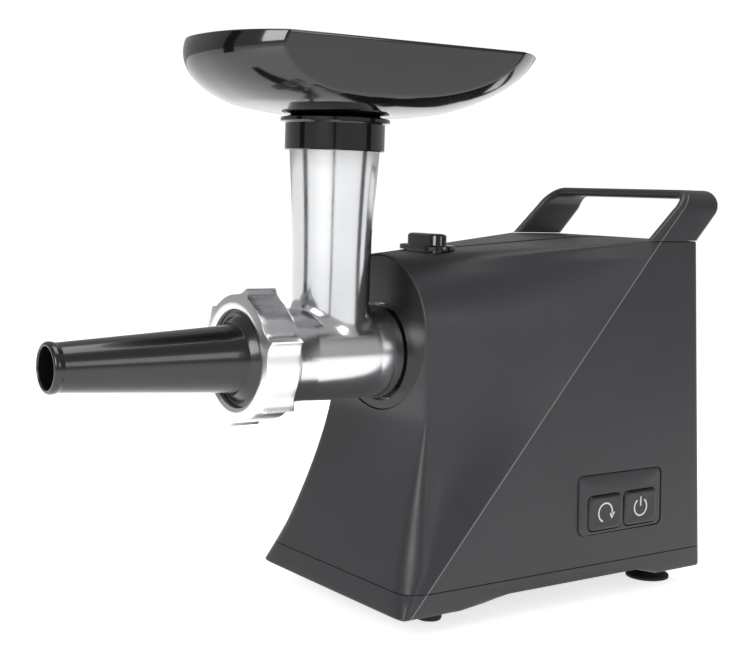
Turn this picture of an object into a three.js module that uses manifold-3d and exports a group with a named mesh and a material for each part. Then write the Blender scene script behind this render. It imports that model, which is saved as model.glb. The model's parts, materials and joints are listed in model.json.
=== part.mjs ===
// Electric meat grinder with a sausage stuffing tube on its ring nut.
// Millimetres, +Z up, front (the outlet) towards -Y, control buttons on the +X side.
// Distances along Y are measured from the front plate and shifted at the end, so that
// the origin lies under the middle of the whole object, on the table.

import * as THREE from 'three';
import { mergeVertices } from 'three/addons/utils/BufferGeometryUtils.js';
import Module from 'manifold-3d';

const wasm = await Module();
wasm.setup();

const { PI, abs, acos, atan2, cos, hypot, max, min, sin, sqrt, tan } = Math;
const DEG = PI / 180;

// ---------------------------------------------------------------- driving sizes

const GAP = 0.35;               // clearance between pieces that touch
const RUNNING = 0.5;            // clearance between pieces that turn or slide
const WALL = 2.6;               // moulded plastic wall

const body = {
  bottomZ: 12, seamZ: 24.5, topFrontZ: 199.4, topRearZ: 209.5,
  halfWidthBottom: 70.6, draft: 0.042,
  frontBottomY: -30, skirtPower: 1.2, skirtTopZ: 111.5, flarePower: 2.2,
  archRadius: 44.4, cornerRadius: 12, archEdge: 1.6,
  creaseBottomY: -24.5, creaseSlope: 0.925, creaseTopY: 150,
  rearBottomY: 197.6, rearTopY: 190, rearCorner: 4, shoulder: 3,
};

const handle = { thickness: 5.5, topZ: 240, rearY: 209, frontTopY: 183, barCorner: 12, edge: 6 };

const plate = { radius: 43.2, thickness: 4.5, recess: 0.6, clearance: 1.7 };
const headSeat = { clearance: 0.7, wall: 4, flange: 5.4, lip: 3, boreRadius: 14 };

const head = {
  axisZ: 144.2, barrelRadius: 25.9, boreRadius: 22.4, rearY: 22,
  mouthRadius: 30.4, mouthBore: 27.4, mouthFrontY: -88.6, mouthRearY: -68,
  tubeY: -32.4, tubeTopZ: 267.8, tubeTopRadius: 24.3, tubeRadius: 21.3, tubeWall: 2.6,
};

const ring = {
  frontY: -92.3, rearY: -71.5, holeRadius: 26, lobeRadius: 38, valleyRadius: 33.6,
  lobes: 6, lobeAngle: 18.5, sharpness: 7, lip: 3.2,
};

const stuffer = { tipY: -195.3, tipRadius: 12.4, tipBore: 10.4, rootRadius: 17.4, wall: 1.9, flange: 2.6 };

const tray = {
  rimZ: 310, wall: 2.2, sideX: 54.8, sideSplay: 0.077, sideLean: 0.135,
  collarRadius: 26.9, collarBottomZ: 254.2, flangeRadius: 29.5, flangeZ: 269.2, flangeHeight: 2.6,
  bore: 20.8, bowlY: -13.9, bowlHalfX: 72.4, bowlHalfY: 99.3, planPower: 2.36,
  bowlTopZ: 311.9, bowlDepth: 42.8, depthPower: 2.06, lowZ: 277.5, neckRise: 1.5, floorRise: 3.4,
};

const foot = { x: 41, frontY: 11, rearY: 183, radius: 7.2, brimRadius: 13.3, brimHeight: 3.2, pegRadius: 3 };
const screw = { x: 48, frontY: 60, rearY: 128, radius: 2, headRadius: 3.6, headHeight: 1.7, length: 8 };
const underside = { rise: 4.5, fromFrontFoot: 14, fromRearFoot: 32, floor: 2.5 };

const gearing = {
  pressure: 25 * DEG, addendum: 0.8, dedendum: 1.05, thinning: 0.14, shaftRadius: 4,
  first: { module: 1.25, pinion: 10, wheel: 44, y: [55.5, 62.5] },
  second: { module: 1.5, pinion: 10, wheel: 36, y: [45, 53] },
  third: { module: 1.75, pinion: 10, wheel: 33, y: [33.5, 43] },
  outputToSecond: -115 * DEG, secondToFirst: -20 * DEG, caseWall: 2.6, caseMargin: 2.4,
};

const motor = {
  radius: 38, coreY: [84, 124], airGap: 0.8, armatureRadius: 20, shaftRadius: 4, shaftEndY: 168,
  frontBracketY: 70, rearBracketY: 157, bracket: 5, fanY: [128, 137], fanRadius: 26,
  flat: 4, commutatorY: [141, 150], commutatorRadius: 11, bearingRadius: 9.5, bearingWidth: 6,
};

const coilSlot = { offset: 26, halfWidth: 16, halfHeight: 4.6, overhang: 4 };

const panel = {
  frontY: 94, rearY: 161.5, bottomZ: 42, topZ: 76, corner: 4, proudFront: 1.9, proudRear: 0.4, sunk: 5,
};
const button = { width: 26.6, height: 20, pitch: 29.2, firstY: 101, bottomZ: 44, proud: 0.5, travel: 2.5 };
const lock = {
  y: 32.5, flat: 18, radius: 5.6, topZ: 210.6, bottomZ: 190, pinRadius: 3, travel: 4,
  bezelMargin: 4.6, bezelTopZ: 204.3, bezelHeight: 3, wire: 0.9, coilRadius: 4.4, coils: 3,
};
const gland = { x: -30, z: 40, radius: 7, bore: 4, flange: 3, inside: 9, outside: 3 };
const vent = { halfWidth: 34, height: 4, pitch: 11, firstZ: 80, count: 5 };

// ---------------------------------------------------------------- materials

const finish = (color, roughness, metalness = 0) =>
  new THREE.MeshStandardMaterial({ color, roughness, metalness });

const charcoal = finish(0x3d3e41, 0.5);
const darkPlastic = finish(0x232426, 0.45);
const glossBlack = finish(0x121315, 0.16);
const satinBlack = finish(0x17181a, 0.3);
const castAluminium = finish(0xc9ccd1, 0.28, 1);
const steel = finish(0xa9adb2, 0.3, 1);
const laminations = finish(0x5f6368, 0.5, 1);
const copper = finish(0xb87333, 0.35, 1);
const brass = finish(0xc2a05a, 0.35, 1);
const rubber = finish(0x1b1b1c, 0.85);
const whiteNylon = finish(0xe8e5da, 0.55);
const boardGreen = finish(0x2c5e3a, 0.6);

// ---------------------------------------------------------------- solid helpers

// A geometry reduced to merged positions, with its faces turned outwards.
function clean(geometry) {
  const bare = geometry.index ? geometry.toNonIndexed() : geometry.clone();
  for (const name of Object.keys(bare.attributes)) {
    if (name !== 'position') bare.deleteAttribute(name);
  }
  bare.clearGroups();
  const merged = mergeVertices(bare, 1e-4);
  const p = merged.attributes.position;
  const a = new THREE.Vector3();
  const b = new THREE.Vector3();
  const c = new THREE.Vector3();
  const kept = [];
  let volume = 0;
  for (let i = 0; i < merged.index.count; i += 3) {
    const [i0, i1, i2] = [0, 1, 2].map((k) => merged.index.getX(i + k));
    if (i0 === i1 || i1 === i2 || i2 === i0) continue;
    kept.push(i0, i1, i2);
    a.fromBufferAttribute(p, i0);
    b.fromBufferAttribute(p, i1);
    c.fromBufferAttribute(p, i2);
    volume += a.dot(b.cross(c));
  }
  if (volume < 0) kept.reverse();
  merged.setIndex(kept);
  return merged;
}

function toManifold(geometry) {
  const merged = clean(geometry);
  return new wasm.Manifold(new wasm.Mesh({
    numProp: 3,
    vertProperties: new Float32Array(merged.attributes.position.array),
    triVerts: new Uint32Array(merged.index.array),
  }));
}

function fromManifold(solid) {
  const mesh = solid.getMesh();
  const geometry = new THREE.BufferGeometry();
  geometry.setAttribute('position', new THREE.BufferAttribute(new Float32Array(mesh.vertProperties), 3));
  geometry.setIndex(new THREE.BufferAttribute(new Uint32Array(mesh.triVerts), 1));
  return geometry;
}

const combine = (operation) => (first, ...others) => fromManifold(
  others.reduce((solid, other) => solid[operation](toManifold(other)), toManifold(first)));
const join = combine('add');
const cut = combine('subtract');
const overlap = combine('intersect');

// A closed surface through rings of points. Rings share one point count; the ends are
// capped by fans, or the last ring joins the first when the surface closes on itself.
function loft(rings, closed = false) {
  const count = rings[0].length;
  const points = rings.flat();
  const index = [];
  const last = closed ? rings.length : rings.length - 1;
  for (let r = 0; r < last; r += 1) {
    const next = (r + 1) % rings.length;
    for (let c = 0; c < count; c += 1) {
      const d = (c + 1) % count;
      const [p, q, s, t] = [r * count + c, r * count + d, next * count + d, next * count + c];
      index.push(p, q, s, p, s, t);
    }
  }
  if (!closed) {
    for (const r of [0, rings.length - 1]) {
      const middle = [0, 1, 2].map((k) => rings[r].reduce((sum, point) => sum + point[k], 0) / count);
      points.push(middle);
      for (let c = 0; c < count; c += 1) {
        const face = [points.length - 1, r * count + c, r * count + (c + 1) % count];
        index.push(...(r === 0 ? face.reverse() : face));
      }
    }
  }
  const geometry = new THREE.BufferGeometry();
  geometry.setAttribute('position', new THREE.Float32BufferAttribute(points.flat(), 3));
  geometry.setIndex(index);
  return geometry;
}

const shapeOf = (points) => new THREE.Shape(points.map(([x, y]) => new THREE.Vector2(x, y)));

function circlePoints(radius, steps, x = 0, y = 0) {
  return Array.from({ length: steps }, (_, i) => {
    const turn = 2 * PI * i / steps;
    return [x + radius * cos(turn), y + radius * sin(turn)];
  });
}

// A flat outline in X (across) and Z (up), thickened along Y between two places.
function plateAlongY(outline, y0, y1, holes = []) {
  const shape = shapeOf(outline);
  for (const hole of holes) shape.holes.push(shapeOf(hole));
  const solid = new THREE.ExtrudeGeometry(shape, { depth: y1 - y0, bevelEnabled: false });
  return solid.rotateX(PI / 2).translate(0, y1, 0);
}

// A flat outline in X and Y, thickened along Z between two heights.
function plateAlongZ(outline, z0, z1, holes = []) {
  const shape = shapeOf(outline);
  for (const hole of holes) shape.holes.push(shapeOf(hole));
  return new THREE.ExtrudeGeometry(shape, { depth: z1 - z0, bevelEnabled: false }).translate(0, 0, z0);
}

// A flat outline in Y and Z, thickened along X between two places.
function plateAlongX(outline, x0, x1) {
  const solid = new THREE.ExtrudeGeometry(shapeOf(outline), { depth: x1 - x0, bevelEnabled: false });
  return solid.rotateY(PI / 2).rotateX(PI / 2).translate(x0, 0, 0);
}

// Revolved solids: points are [radius, place along the axis].
function turnedY(profile, steps = 20, x = 0, z = head.axisZ) {
  const points = profile.map(([r, y]) => new THREE.Vector2(r, y));
  return new THREE.LatheGeometry(points, steps).translate(x, 0, z);
}

function turnedZ(profile, steps = 20, x = 0, y = 0) {
  const points = profile.map(([r, z]) => new THREE.Vector2(r, z));
  return new THREE.LatheGeometry(points, steps).rotateX(PI / 2).translate(x, y, 0);
}

// A tube wall: a closed rectangle turned about the axis.
const sleeve = (inner, outer, a, b) => [[inner, a], [outer, a], [outer, b], [inner, b], [inner, a]];
const rod = (radius, a, b) => [[0, a], [radius, a], [radius, b], [0, b]];

function roundedBox(x0, x1, y0, y1, radius, steps = 4) {
  const points = [];
  const corners = [[x1 - radius, y1 - radius, 0], [x0 + radius, y1 - radius, 1],
    [x0 + radius, y0 + radius, 2], [x1 - radius, y0 + radius, 3]];
  for (const [x, y, quarter] of corners) {
    for (let i = 0; i <= steps; i += 1) {
      const turn = (quarter + i / steps) * PI / 2;
      points.push([x + radius * cos(turn), y + radius * sin(turn)]);
    }
  }
  return points;
}

const box = (x0, x1, y0, y1, z0, z1) =>
  new THREE.BoxGeometry(x1 - x0, y1 - y0, z1 - z0).translate((x0 + x1) / 2, (y0 + y1) / 2, (z0 + z1) / 2);

// ---------------------------------------------------------------- body surface

const archZ = body.topFrontZ - body.archRadius;
const sideX = (z) => body.halfWidthBottom - body.draft * (z - body.bottomZ);
const creaseY = (z) => min(body.creaseBottomY + body.creaseSlope * (z - body.bottomZ), body.creaseTopY);
const rearY = (z) => body.rearBottomY
  + (body.rearTopY - body.rearBottomY) * min((z - body.bottomZ) / (body.topRearZ - body.bottomZ), 1);
const skirtY = (z) => (z < body.skirtTopZ
  ? body.frontBottomY * ((body.skirtTopZ - z) / (body.skirtTopZ - body.bottomZ)) ** body.skirtPower : 0);
const frontX = (z) => body.archRadius
  + (body.halfWidthBottom - body.archRadius) * (max(archZ - z, 0) / (archZ - body.bottomZ)) ** body.flarePower;
const cornerOf = (z) => body.archEdge
  + (body.cornerRadius - body.archEdge) * max(0, (body.skirtTopZ - z) / (body.skirtTopZ - body.bottomZ));

// One closed ring of the body: the front edge, the flaring cheek up to the crease, the
// flat side panel and the rear wall, mirrored. front and crease are [x, y, z] points.
function bodyRing(front, crease, rear, corner, inset) {
  const half = [];
  const steps = 3;
  const width = max(front[0] - inset, 0);
  const radius = min(corner, width);
  for (let i = 0; i <= steps; i += 1) {
    const turn = i / steps * PI / 2;
    half.push([width - radius * (1 - sin(turn)), front[1] + inset + radius * (1 - cos(turn)), front[2]]);
  }
  const start = half[half.length - 1];
  const end = [max(crease[0] - inset, 0), crease[1], crease[2]];
  for (let i = 1; i <= steps; i += 1) {
    half.push(start.map((value, k) => value + (end[k] - value) * i / steps));
  }
  const back = max(rear[0] - inset, 0);
  const bend = min(body.rearCorner, back);
  for (let i = 0; i <= 2; i += 1) {
    const turn = i / 2 * PI / 2;
    half.push([back - bend * (1 - cos(turn)), rear[1] - inset - bend * (1 - sin(turn)), rear[2]]);
  }
  const mirrored = half.map(([x, y, z]) => [-x, y, z]).reverse();
  return [...half, ...mirrored];
}

// The whole outer form, or the form of its hollow when inset by the wall.
function bodyForm(fromZ, inset = 0) {
  const rings = [];
  const levels = 6;
  for (let i = 0; i <= levels; i += 1) {
    const z = fromZ + (archZ - fromZ) * i / levels;
    rings.push(bodyRing([frontX(z), skirtY(z), z], [sideX(z), creaseY(z), z],
      [sideX(z), rearY(z), z], cornerOf(z), inset));
  }
  const radius = body.archRadius - inset;
  const shoulderZ = body.topRearZ - body.shoulder;
  const turns = 9;
  const bent = 0.7;
  for (let i = 1; i <= turns; i += 1) {
    const share = i / turns;
    const turn = share * PI / 2;
    const front = [radius * cos(turn) + inset, 0, archZ + radius * sin(turn)];
    const rise = min(share / bent, 1);
    const over = max(0, (share - bent) / (1 - bent));
    const z = archZ + (shoulderZ - archZ) * rise;
    const round = min(over * 2, 1) * PI / 2;
    const flat = max(0, over * 2 - 1);
    const x = (sideX(z) - body.shoulder * (1 - cos(round))) * (1 - flat);
    const top = z + body.shoulder * sin(round) - inset * rise;
    const crease = [x + inset * flat, creaseY(z), top];
    rings.push(bodyRing(front, crease, [crease[0], rearY(z), top], body.archEdge, inset));
  }
  return loft(rings);
}

// ---------------------------------------------------------------- housing pieces

const stadium = (halfFlat, radius, x = 0, y = 0, steps = 8) => {
  const points = [];
  for (const [side, from] of [[1, -PI / 2], [-1, PI / 2]]) {
    for (let i = 0; i <= steps; i += 1) {
      const turn = from + PI * i / steps;
      points.push([x + side * halfFlat + radius * cos(turn), y + radius * sin(turn)]);
    }
  }
  return points;
};

const bezelRadius = lock.radius + lock.bezelMargin;
const panelX = sideX((panel.bottomZ + panel.topZ) / 2);
const across = body.halfWidthBottom + 20;

function mainHousing() {
  const outer = bodyForm(body.seamZ);
  const hollow = bodyForm(body.seamZ - WALL, WALL);
  const opening = turnedY(rod(plate.radius + GAP, -20, WALL + 6), 40, 0, archZ);
  const lockOpening = plateAlongZ(stadium(lock.flat / 2, lock.radius + RUNNING, 0, lock.y), archZ, handle.topZ);
  const bezelSeat = plateAlongZ(stadium(lock.flat / 2, bezelRadius + GAP, 0, lock.y),
    lock.bezelTopZ - lock.bezelHeight - GAP, handle.topZ);
  const panelOpening = plateAlongX(
    roundedBox(panel.frontY - GAP, panel.rearY + GAP, panel.bottomZ - GAP, panel.topZ + GAP, panel.corner + GAP),
    panelX - panel.sunk - WALL, across);
  const rear = [min(body.rearTopY, body.rearBottomY) - 3 * WALL, max(handle.rearY, body.rearBottomY + WALL)];
  const glandHole = turnedY(rod(gland.radius + GAP, ...rear), 20, gland.x, gland.z);
  const vents = [];
  for (let i = 0; i < vent.count; i += 1) {
    const z = vent.firstZ + i * vent.pitch;
    vents.push(box(-vent.halfWidth, vent.halfWidth, ...rear, z, z + vent.height));
  }
  return cut(outer, hollow, opening, lockOpening, bezelSeat, panelOpening, glandHole, ...vents);
}

// The strap handle continues the side panels upwards and joins them over the finger gap.
function carryHandle() {
  const z0 = body.topRearZ + GAP;
  const outerX = sideX(body.topRearZ);
  const leanIn = 1.5;
  const side = [[creaseY(z0) + 3, z0], [handle.frontTopY - handle.edge, handle.topZ - handle.edge - 1]];
  for (let i = 0; i <= 4; i += 1) {
    const reach = handle.edge * sin(i / 4 * PI / 2);
    side.push([handle.frontTopY - handle.edge + reach, handle.topZ - handle.edge - (1 - i / 4) + reach]);
  }
  for (let i = 0; i <= 4; i += 1) {
    const turn = i / 4 * PI / 2;
    side.push([handle.rearY - handle.edge * (1 - sin(turn)), handle.topZ - handle.edge * (1 - cos(turn))]);
  }
  side.push([handle.rearY - leanIn, handle.topZ - 2 * handle.edge], [rearY(z0) + leanIn, z0]);
  const block = plateAlongX(side, -outerX, outerX);
  const middle = outerX - handle.barCorner;
  const strap = (inset) => {
    const radius = handle.barCorner - inset;
    const points = [[outerX - inset, z0 - 5]];
    for (const [x, turn0] of [[middle, 0], [-middle, 1]]) {
      for (let i = 0; i <= 5; i += 1) {
        const turn = (turn0 + i / 5) * PI / 2;
        points.push([x + radius * cos(turn), handle.topZ - handle.barCorner + radius * sin(turn)]);
      }
    }
    return [...points, [inset - outerX, z0 - 5]];
  };
  const [front, rear] = [body.creaseTopY - 5, handle.rearY + 5];
  const frame = cut(plateAlongY(strap(0), front, rear),
    plateAlongY(strap(handle.thickness), front - 5, rear + 5),
    box(-middle, middle, front - 5, rear + 5, z0 - 6, z0 - 1));
  return overlap(block, frame);
}

const undersideZ = body.bottomZ + underside.rise;
const sides = [1, -1];
const footPlaces = [foot.frontY, foot.rearY].flatMap((y) => sides.map((side) => [side * foot.x, y]));
const screwPlaces = [screw.frontY, screw.rearY].flatMap((y) => sides.map((side) => [side * screw.x, y]));

// The bottom cover: a tray closed below, stepped up between the feet.
function baseCover() {
  const top = body.seamZ - GAP;
  const rings = (inset, low, high) => [low, (low + high) / 2, high].map((z) => bodyRing(
    [frontX(z), skirtY(z), z], [sideX(z), creaseY(z), z], [sideX(z), rearY(z), z], cornerOf(z), inset));
  const outer = loft(rings(0, body.bottomZ, top));
  const hollow = loft(rings(WALL, undersideZ + underside.floor, top + WALL));
  const recess = box(-across, across, foot.frontY + underside.fromFrontFoot,
    foot.rearY - underside.fromRearFoot, 0, undersideZ);
  const holes = [
    ...footPlaces.map(([x, y]) => turnedZ(rod(foot.pegRadius + GAP, 0, top), 12, x, y)),
    ...screwPlaces.map(([x, y]) => turnedZ(rod(screw.radius + GAP, 0, top), 8, x, y)),
  ];
  return cut(outer, hollow, recess, ...holes);
}

function frontPlate() {
  const outer = turnedY(rod(plate.radius, plate.recess, plate.recess + plate.thickness), 40, 0, archZ);
  return cut(outer, turnedY(rod(head.barrelRadius + plate.clearance, -5, 20), 32));
}

// The socket that the head plugs into, closed behind by a lip round the drive coupling.
function headSocket() {
  const start = plate.recess + plate.thickness + GAP;
  const end = head.rearY + RUNNING + headSeat.lip;
  const inner = head.barrelRadius + headSeat.clearance;
  const outer = inner + headSeat.wall;
  const flange = [outer + headSeat.flange, start + headSeat.lip];
  const profile = [[inner, start], [flange[0], start], flange, [outer, flange[1]], [outer, end],
    [headSeat.boreRadius, end], [headSeat.boreRadius, end - WALL], [inner, end - WALL], [inner, start]];
  return turnedY(profile, 32);
}

// ---------------------------------------------------------------- gear train

const centreDistance = ({ module, pinion, wheel }) => module * (pinion + wheel) / 2;
const step = (from, distance, turn) => [from[0] + distance * cos(turn), from[1] + distance * sin(turn)];
const outputAt = [0, head.axisZ];
const secondAt = step(outputAt, centreDistance(gearing.third), gearing.outputToSecond);
const firstAt = step(secondAt, centreDistance(gearing.second), gearing.secondToFirst);
const motorDrop = sqrt(centreDistance(gearing.first) ** 2 - firstAt[0] ** 2);
const motorAt = [0, firstAt[1] - motorDrop];

const involute = (angle) => tan(angle) - angle;

// Involute tooth outline; the first tooth is centred on the angle `phase`.
function gearOutline(teeth, module, phase) {
  const pitch = teeth * module / 2;
  const base = pitch * cos(gearing.pressure);
  const tip = pitch + gearing.addendum * module;
  const root = pitch - gearing.dedendum * module;
  const low = max(base, root);
  const halfTooth = PI / (2 * teeth) - gearing.thinning / (2 * pitch) + involute(gearing.pressure);
  const flank = [0, 0.5, 1].map((share) => low + (tip - low) * share)
    .map((radius) => [radius, halfTooth - involute(acos(min(base / radius, 1)))]);
  const profile = [[root, flank[0][1]], ...flank.slice(1)];
  const points = [];
  for (let tooth = 0; tooth < teeth; tooth += 1) {
    const centre = phase + 2 * PI * tooth / teeth;
    for (const [radius, half] of profile) points.push([radius, centre - half]);
    for (const [radius, half] of [...profile].reverse()) points.push([radius, centre + half]);
  }
  return points.map(([radius, turn]) => [radius * cos(turn), radius * sin(turn)]);
}

function gear(teeth, stage, at, phase, hole) {
  const [y0, y1] = stage.y;
  const outline = gearOutline(teeth, stage.module, phase);
  const bore = circlePoints(hole, 12).reverse();
  return plateAlongY(outline, y0, y1, [bore]).translate(at[0], 0, at[1]);
}

const bearingTo = (a, b) => atan2(b[1] - a[1], b[0] - a[0]);
const meshPhase = (from, to, teeth) => bearingTo(to, from) + PI / teeth;

// Convex outline round circles, by the monotone chain.
function hullOf(circles) {
  const points = circles.flatMap(([x, y, radius]) => circlePoints(radius, 28, x, y))
    .sort((a, b) => a[0] - b[0] || a[1] - b[1]);
  const cross = (o, a, b) => (a[0] - o[0]) * (b[1] - o[1]) - (a[1] - o[1]) * (b[0] - o[0]);
  const chain = (list) => {
    const out = [];
    for (const point of list) {
      while (out.length > 1 && cross(out[out.length - 2], out[out.length - 1], point) <= 1e-9) out.pop();
      out.push(point);
    }
    out.pop();
    return out;
  };
  return [...chain(points), ...chain(points.reverse())];
}

const wheelTip = ({ module, wheel }) => module * (wheel / 2 + gearing.addendum);
const caseCircles = (extra) => [
  [...outputAt, wheelTip(gearing.third) + gearing.caseMargin + extra],
  [...secondAt, wheelTip(gearing.second) + gearing.caseMargin + extra],
  [...firstAt, wheelTip(gearing.first) + gearing.caseMargin + extra],
  [...motorAt, 10 + extra],
];
const caseFrontY = gearing.third.y[0] - 5.6;
const caseSplitY = gearing.third.y[0] - 2;
const caseRearY = gearing.first.y[1] + 4.6;
const shaftBores = [firstAt, secondAt];

function gearboxCase() {
  const outer = plateAlongY(hullOf(caseCircles(gearing.caseWall)), caseSplitY, caseRearY);
  const hollow = plateAlongY(hullOf(caseCircles(0)), caseSplitY - 5, caseRearY - 3);
  const bores = shaftBores.map(([x, z]) => turnedY(rod(6.5 + GAP, caseRearY - 5, caseRearY + 5), 12, x, z));
  const motorBore = turnedY(rod(11, caseRearY - 5, caseRearY + 5), 16, ...motorAt);
  const outputBore = turnedY(rod(9 + GAP, caseRearY - 5, caseRearY + 5), 20, ...outputAt);
  return cut(outer, hollow, ...bores, motorBore, outputBore);
}

function gearboxCover() {
  const slab = plateAlongY(hullOf(caseCircles(gearing.caseWall)), caseFrontY, caseSplitY - GAP);
  const bores = shaftBores.map(([x, z]) => turnedY(rod(6.5 + GAP, caseFrontY - 2, caseSplitY + 2), 12, x, z));
  return cut(slab, ...bores, turnedY(rod(13 + GAP, caseFrontY - 2, caseSplitY + 2), 20, ...outputAt));
}

const bush = (at, inner, outer, y0, y1) => turnedY(sleeve(inner + RUNNING / 2, outer, y0, y1), 14, ...at);

function gearShaft(at) {
  return turnedY(rod(gearing.shaftRadius, caseFrontY + 0.4, caseRearY - 0.4), 12, ...at);
}

// ---------------------------------------------------------------- output and auger

const hexagon = (across, x = 0, z = 0) => circlePoints(across / sqrt(3), 6, x, z);
const shaftEndY = caseRearY - 0.4;
const couplingFrontY = 12;
const augerFrontY = -80;
const augerRearY = head.rearY - 1;

// The output shaft carries the last wheel and ends in a hexagon socket for the auger.
function outputShaft() {
  const profile = [[0, shaftEndY], [6, shaftEndY], [6, gearing.third.y[1] + 6], [8, gearing.third.y[1] + 6],
    [8, gearing.third.y[0] - 0.6], [9.6, gearing.third.y[0] - 0.6], [9.6, couplingFrontY], [0, couplingFrontY]];
  const socket = plateAlongY(hexagon(12.6, ...outputAt), couplingFrontY - 5, couplingFrontY + 12);
  return cut(turnedY(profile, 32), socket);
}

// Worm body: its radius pulses with the angle from one helix that runs along the axis.
function auger() {
  const [core, tip, turns] = [9.5, head.boreRadius - 0.9, 3.25];
  const bodyRear = -2;
  const [rows, columns] = [26, 20];
  const rings = [];
  for (let row = 0; row <= rows; row += 1) {
    const along = row / rows;
    const y = augerFrontY + 8 + (bodyRear - augerFrontY - 8) * along;
    const swell = core + 2.5 * (1 - along);
    rings.push(Array.from({ length: columns }, (_, c) => {
      const turn = 2 * PI * c / columns;
      const lag = cos(turn + turns * 2 * PI * along);
      const radius = swell + (tip - swell) * max(0, lag) ** 5;
      return [radius * cos(turn), y, head.axisZ + radius * sin(turn)];
    }));
  }
  const worm = loft(rings);
  const journal = turnedY([[0, augerFrontY], [5, augerFrontY], [5, augerFrontY + 10], [9, augerFrontY + 10],
    [9, bodyRear + 12], [0, bodyRear + 12]], 24);
  const tail = plateAlongY(hexagon(11.9, ...outputAt), bodyRear + 10, couplingFrontY + 10);
  return join(worm, journal, tail);
}

// ---------------------------------------------------------------- grinding head

function headCasting() {
  const barrel = turnedY([[0, head.mouthFrontY], [head.mouthRadius, head.mouthFrontY],
    [head.mouthRadius, head.mouthRearY - 1.2], [head.mouthRadius - 1.2, head.mouthRearY],
    [head.barrelRadius + 0.4, head.mouthRearY + 1], [head.barrelRadius - 0.7, head.mouthRearY + 14],
    [head.barrelRadius - 0.7, -14], [head.barrelRadius, -5], [head.barrelRadius, head.rearY], [0, head.rearY]], 32);
  const tube = turnedZ([[0, head.axisZ], [head.tubeRadius, head.axisZ], [head.tubeRadius, 190],
    [head.tubeRadius + 0.5, 209], [head.tubeRadius + 1.5, 232], [head.tubeTopRadius, 253],
    [head.tubeTopRadius, head.tubeTopZ], [0, head.tubeTopZ]], 28, 0, head.tubeY);
  const bore = turnedY([[0, head.mouthFrontY - 5], [head.mouthBore, head.mouthFrontY - 5],
    [head.mouthBore, augerFrontY], [head.boreRadius, augerFrontY], [head.boreRadius, 1],
    [12.5, 1], [12.5, head.rearY + 5], [0, head.rearY + 5]], 28);
  const throat = turnedZ([[0, head.axisZ], [head.tubeRadius - head.tubeWall, head.axisZ],
    [head.tubeRadius - head.tubeWall, 200], [head.tubeTopRadius - head.tubeWall, 253],
    [head.tubeTopRadius - head.tubeWall, head.tubeTopZ + 5], [0, head.tubeTopZ + 5]], 24, 0, head.tubeY);
  return cut(join(barrel, tube), bore, throat);
}

const augerBush = () => turnedY(sleeve(9 + RUNNING, 12.5 - GAP, 2, 10.5), 24);

// ---------------------------------------------------------------- ring nut and stuffer

// Six lobes: between them the rim is scooped by arcs.
function ringOutline(grow = 0) {
  const points = [];
  const shares = [0, 0.06, 0.13, 0.22, 0.5, 0.78, 0.87, 0.94];
  for (let lobe = 0; lobe < ring.lobes; lobe += 1) {
    for (const share of shares) {
      const turn = (ring.lobeAngle + 360 / ring.lobes * (lobe + share)) * DEG;
      const scoop = abs(2 * share - 1) ** ring.sharpness;
      const radius = ring.valleyRadius + (ring.lobeRadius - ring.valleyRadius) * scoop + grow;
      points.push([radius * cos(turn), radius * sin(turn) + head.axisZ]);
    }
  }
  return points;
}

function ringNut() {
  const blank = plateAlongY(ringOutline(), ring.frontY, ring.rearY);
  const dome = turnedY([[0, ring.frontY], [ring.holeRadius + 3.4, ring.frontY], [ring.lobeRadius + 1, ring.frontY + 2.8],
    [ring.lobeRadius + 1, ring.rearY + 1], [0, ring.rearY + 1]], 32);
  const bore = turnedY([[0, ring.frontY - 2], [ring.holeRadius + 2, ring.frontY - 2], [ring.holeRadius, ring.frontY + 1.4],
    [ring.holeRadius, ring.frontY + ring.lip], [head.mouthRadius + GAP, ring.frontY + ring.lip],
    [head.mouthRadius + GAP, ring.rearY + 3], [0, ring.rearY + 3]], 32);
  return cut(overlap(blank, dome), bore);
}

const flangeFrontY = ring.frontY + ring.lip + GAP;
const flangeRearY = flangeFrontY + stuffer.flange;

function stuffingTube() {
  const lip = 1.1;
  const profile = [
    [stuffer.tipBore, stuffer.tipY], [stuffer.tipRadius - 0.6, stuffer.tipY],
    [stuffer.tipRadius + 0.5, stuffer.tipY + lip], [stuffer.tipRadius + 0.5, stuffer.tipY + 3.4],
    [stuffer.tipRadius - 0.2, stuffer.tipY + 5], [stuffer.rootRadius, ring.frontY - 8],
    [stuffer.rootRadius + 0.6, ring.frontY + 1], [head.mouthBore - 4, flangeFrontY],
    [head.mouthBore - GAP, flangeFrontY], [head.mouthBore - GAP, flangeRearY],
    [stuffer.rootRadius - stuffer.wall + 3, flangeRearY], [stuffer.rootRadius - stuffer.wall, ring.frontY - 2],
    [stuffer.tipBore, stuffer.tipY + 6], [stuffer.tipBore, stuffer.tipY]];
  return turnedY(profile, 24);
}

// Spider that keeps the auger in line when the tube replaces knife and plate.
function separatorDisc() {
  const y0 = flangeRearY + GAP;
  const y1 = augerFrontY - 0.6 + 2.4;
  const rim = turnedY(sleeve(head.mouthBore - 4.4, head.mouthBore - GAP, y0, augerFrontY - GAP), 28);
  const hub = turnedY(sleeve(5 + RUNNING, 8, y0, y1), 16);
  const arms = [];
  for (let i = 0; i < 3; i += 1) {
    const arm = plateAlongY(roundedBox(6.8, head.mouthBore - 3, -2, 2, 0.5, 1), y0, augerFrontY - GAP);
    arms.push(arm.rotateY(120 * i * DEG).translate(0, 0, head.axisZ));
  }
  return join(rim, hub, ...arms);
}

// ---------------------------------------------------------------- tray

const flangeTopZ = tray.flangeZ + tray.flangeHeight;
const traySpans = [8, 12, 8, 12];
const trayColumns = traySpans.reduce((sum, count) => sum + count);

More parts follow.
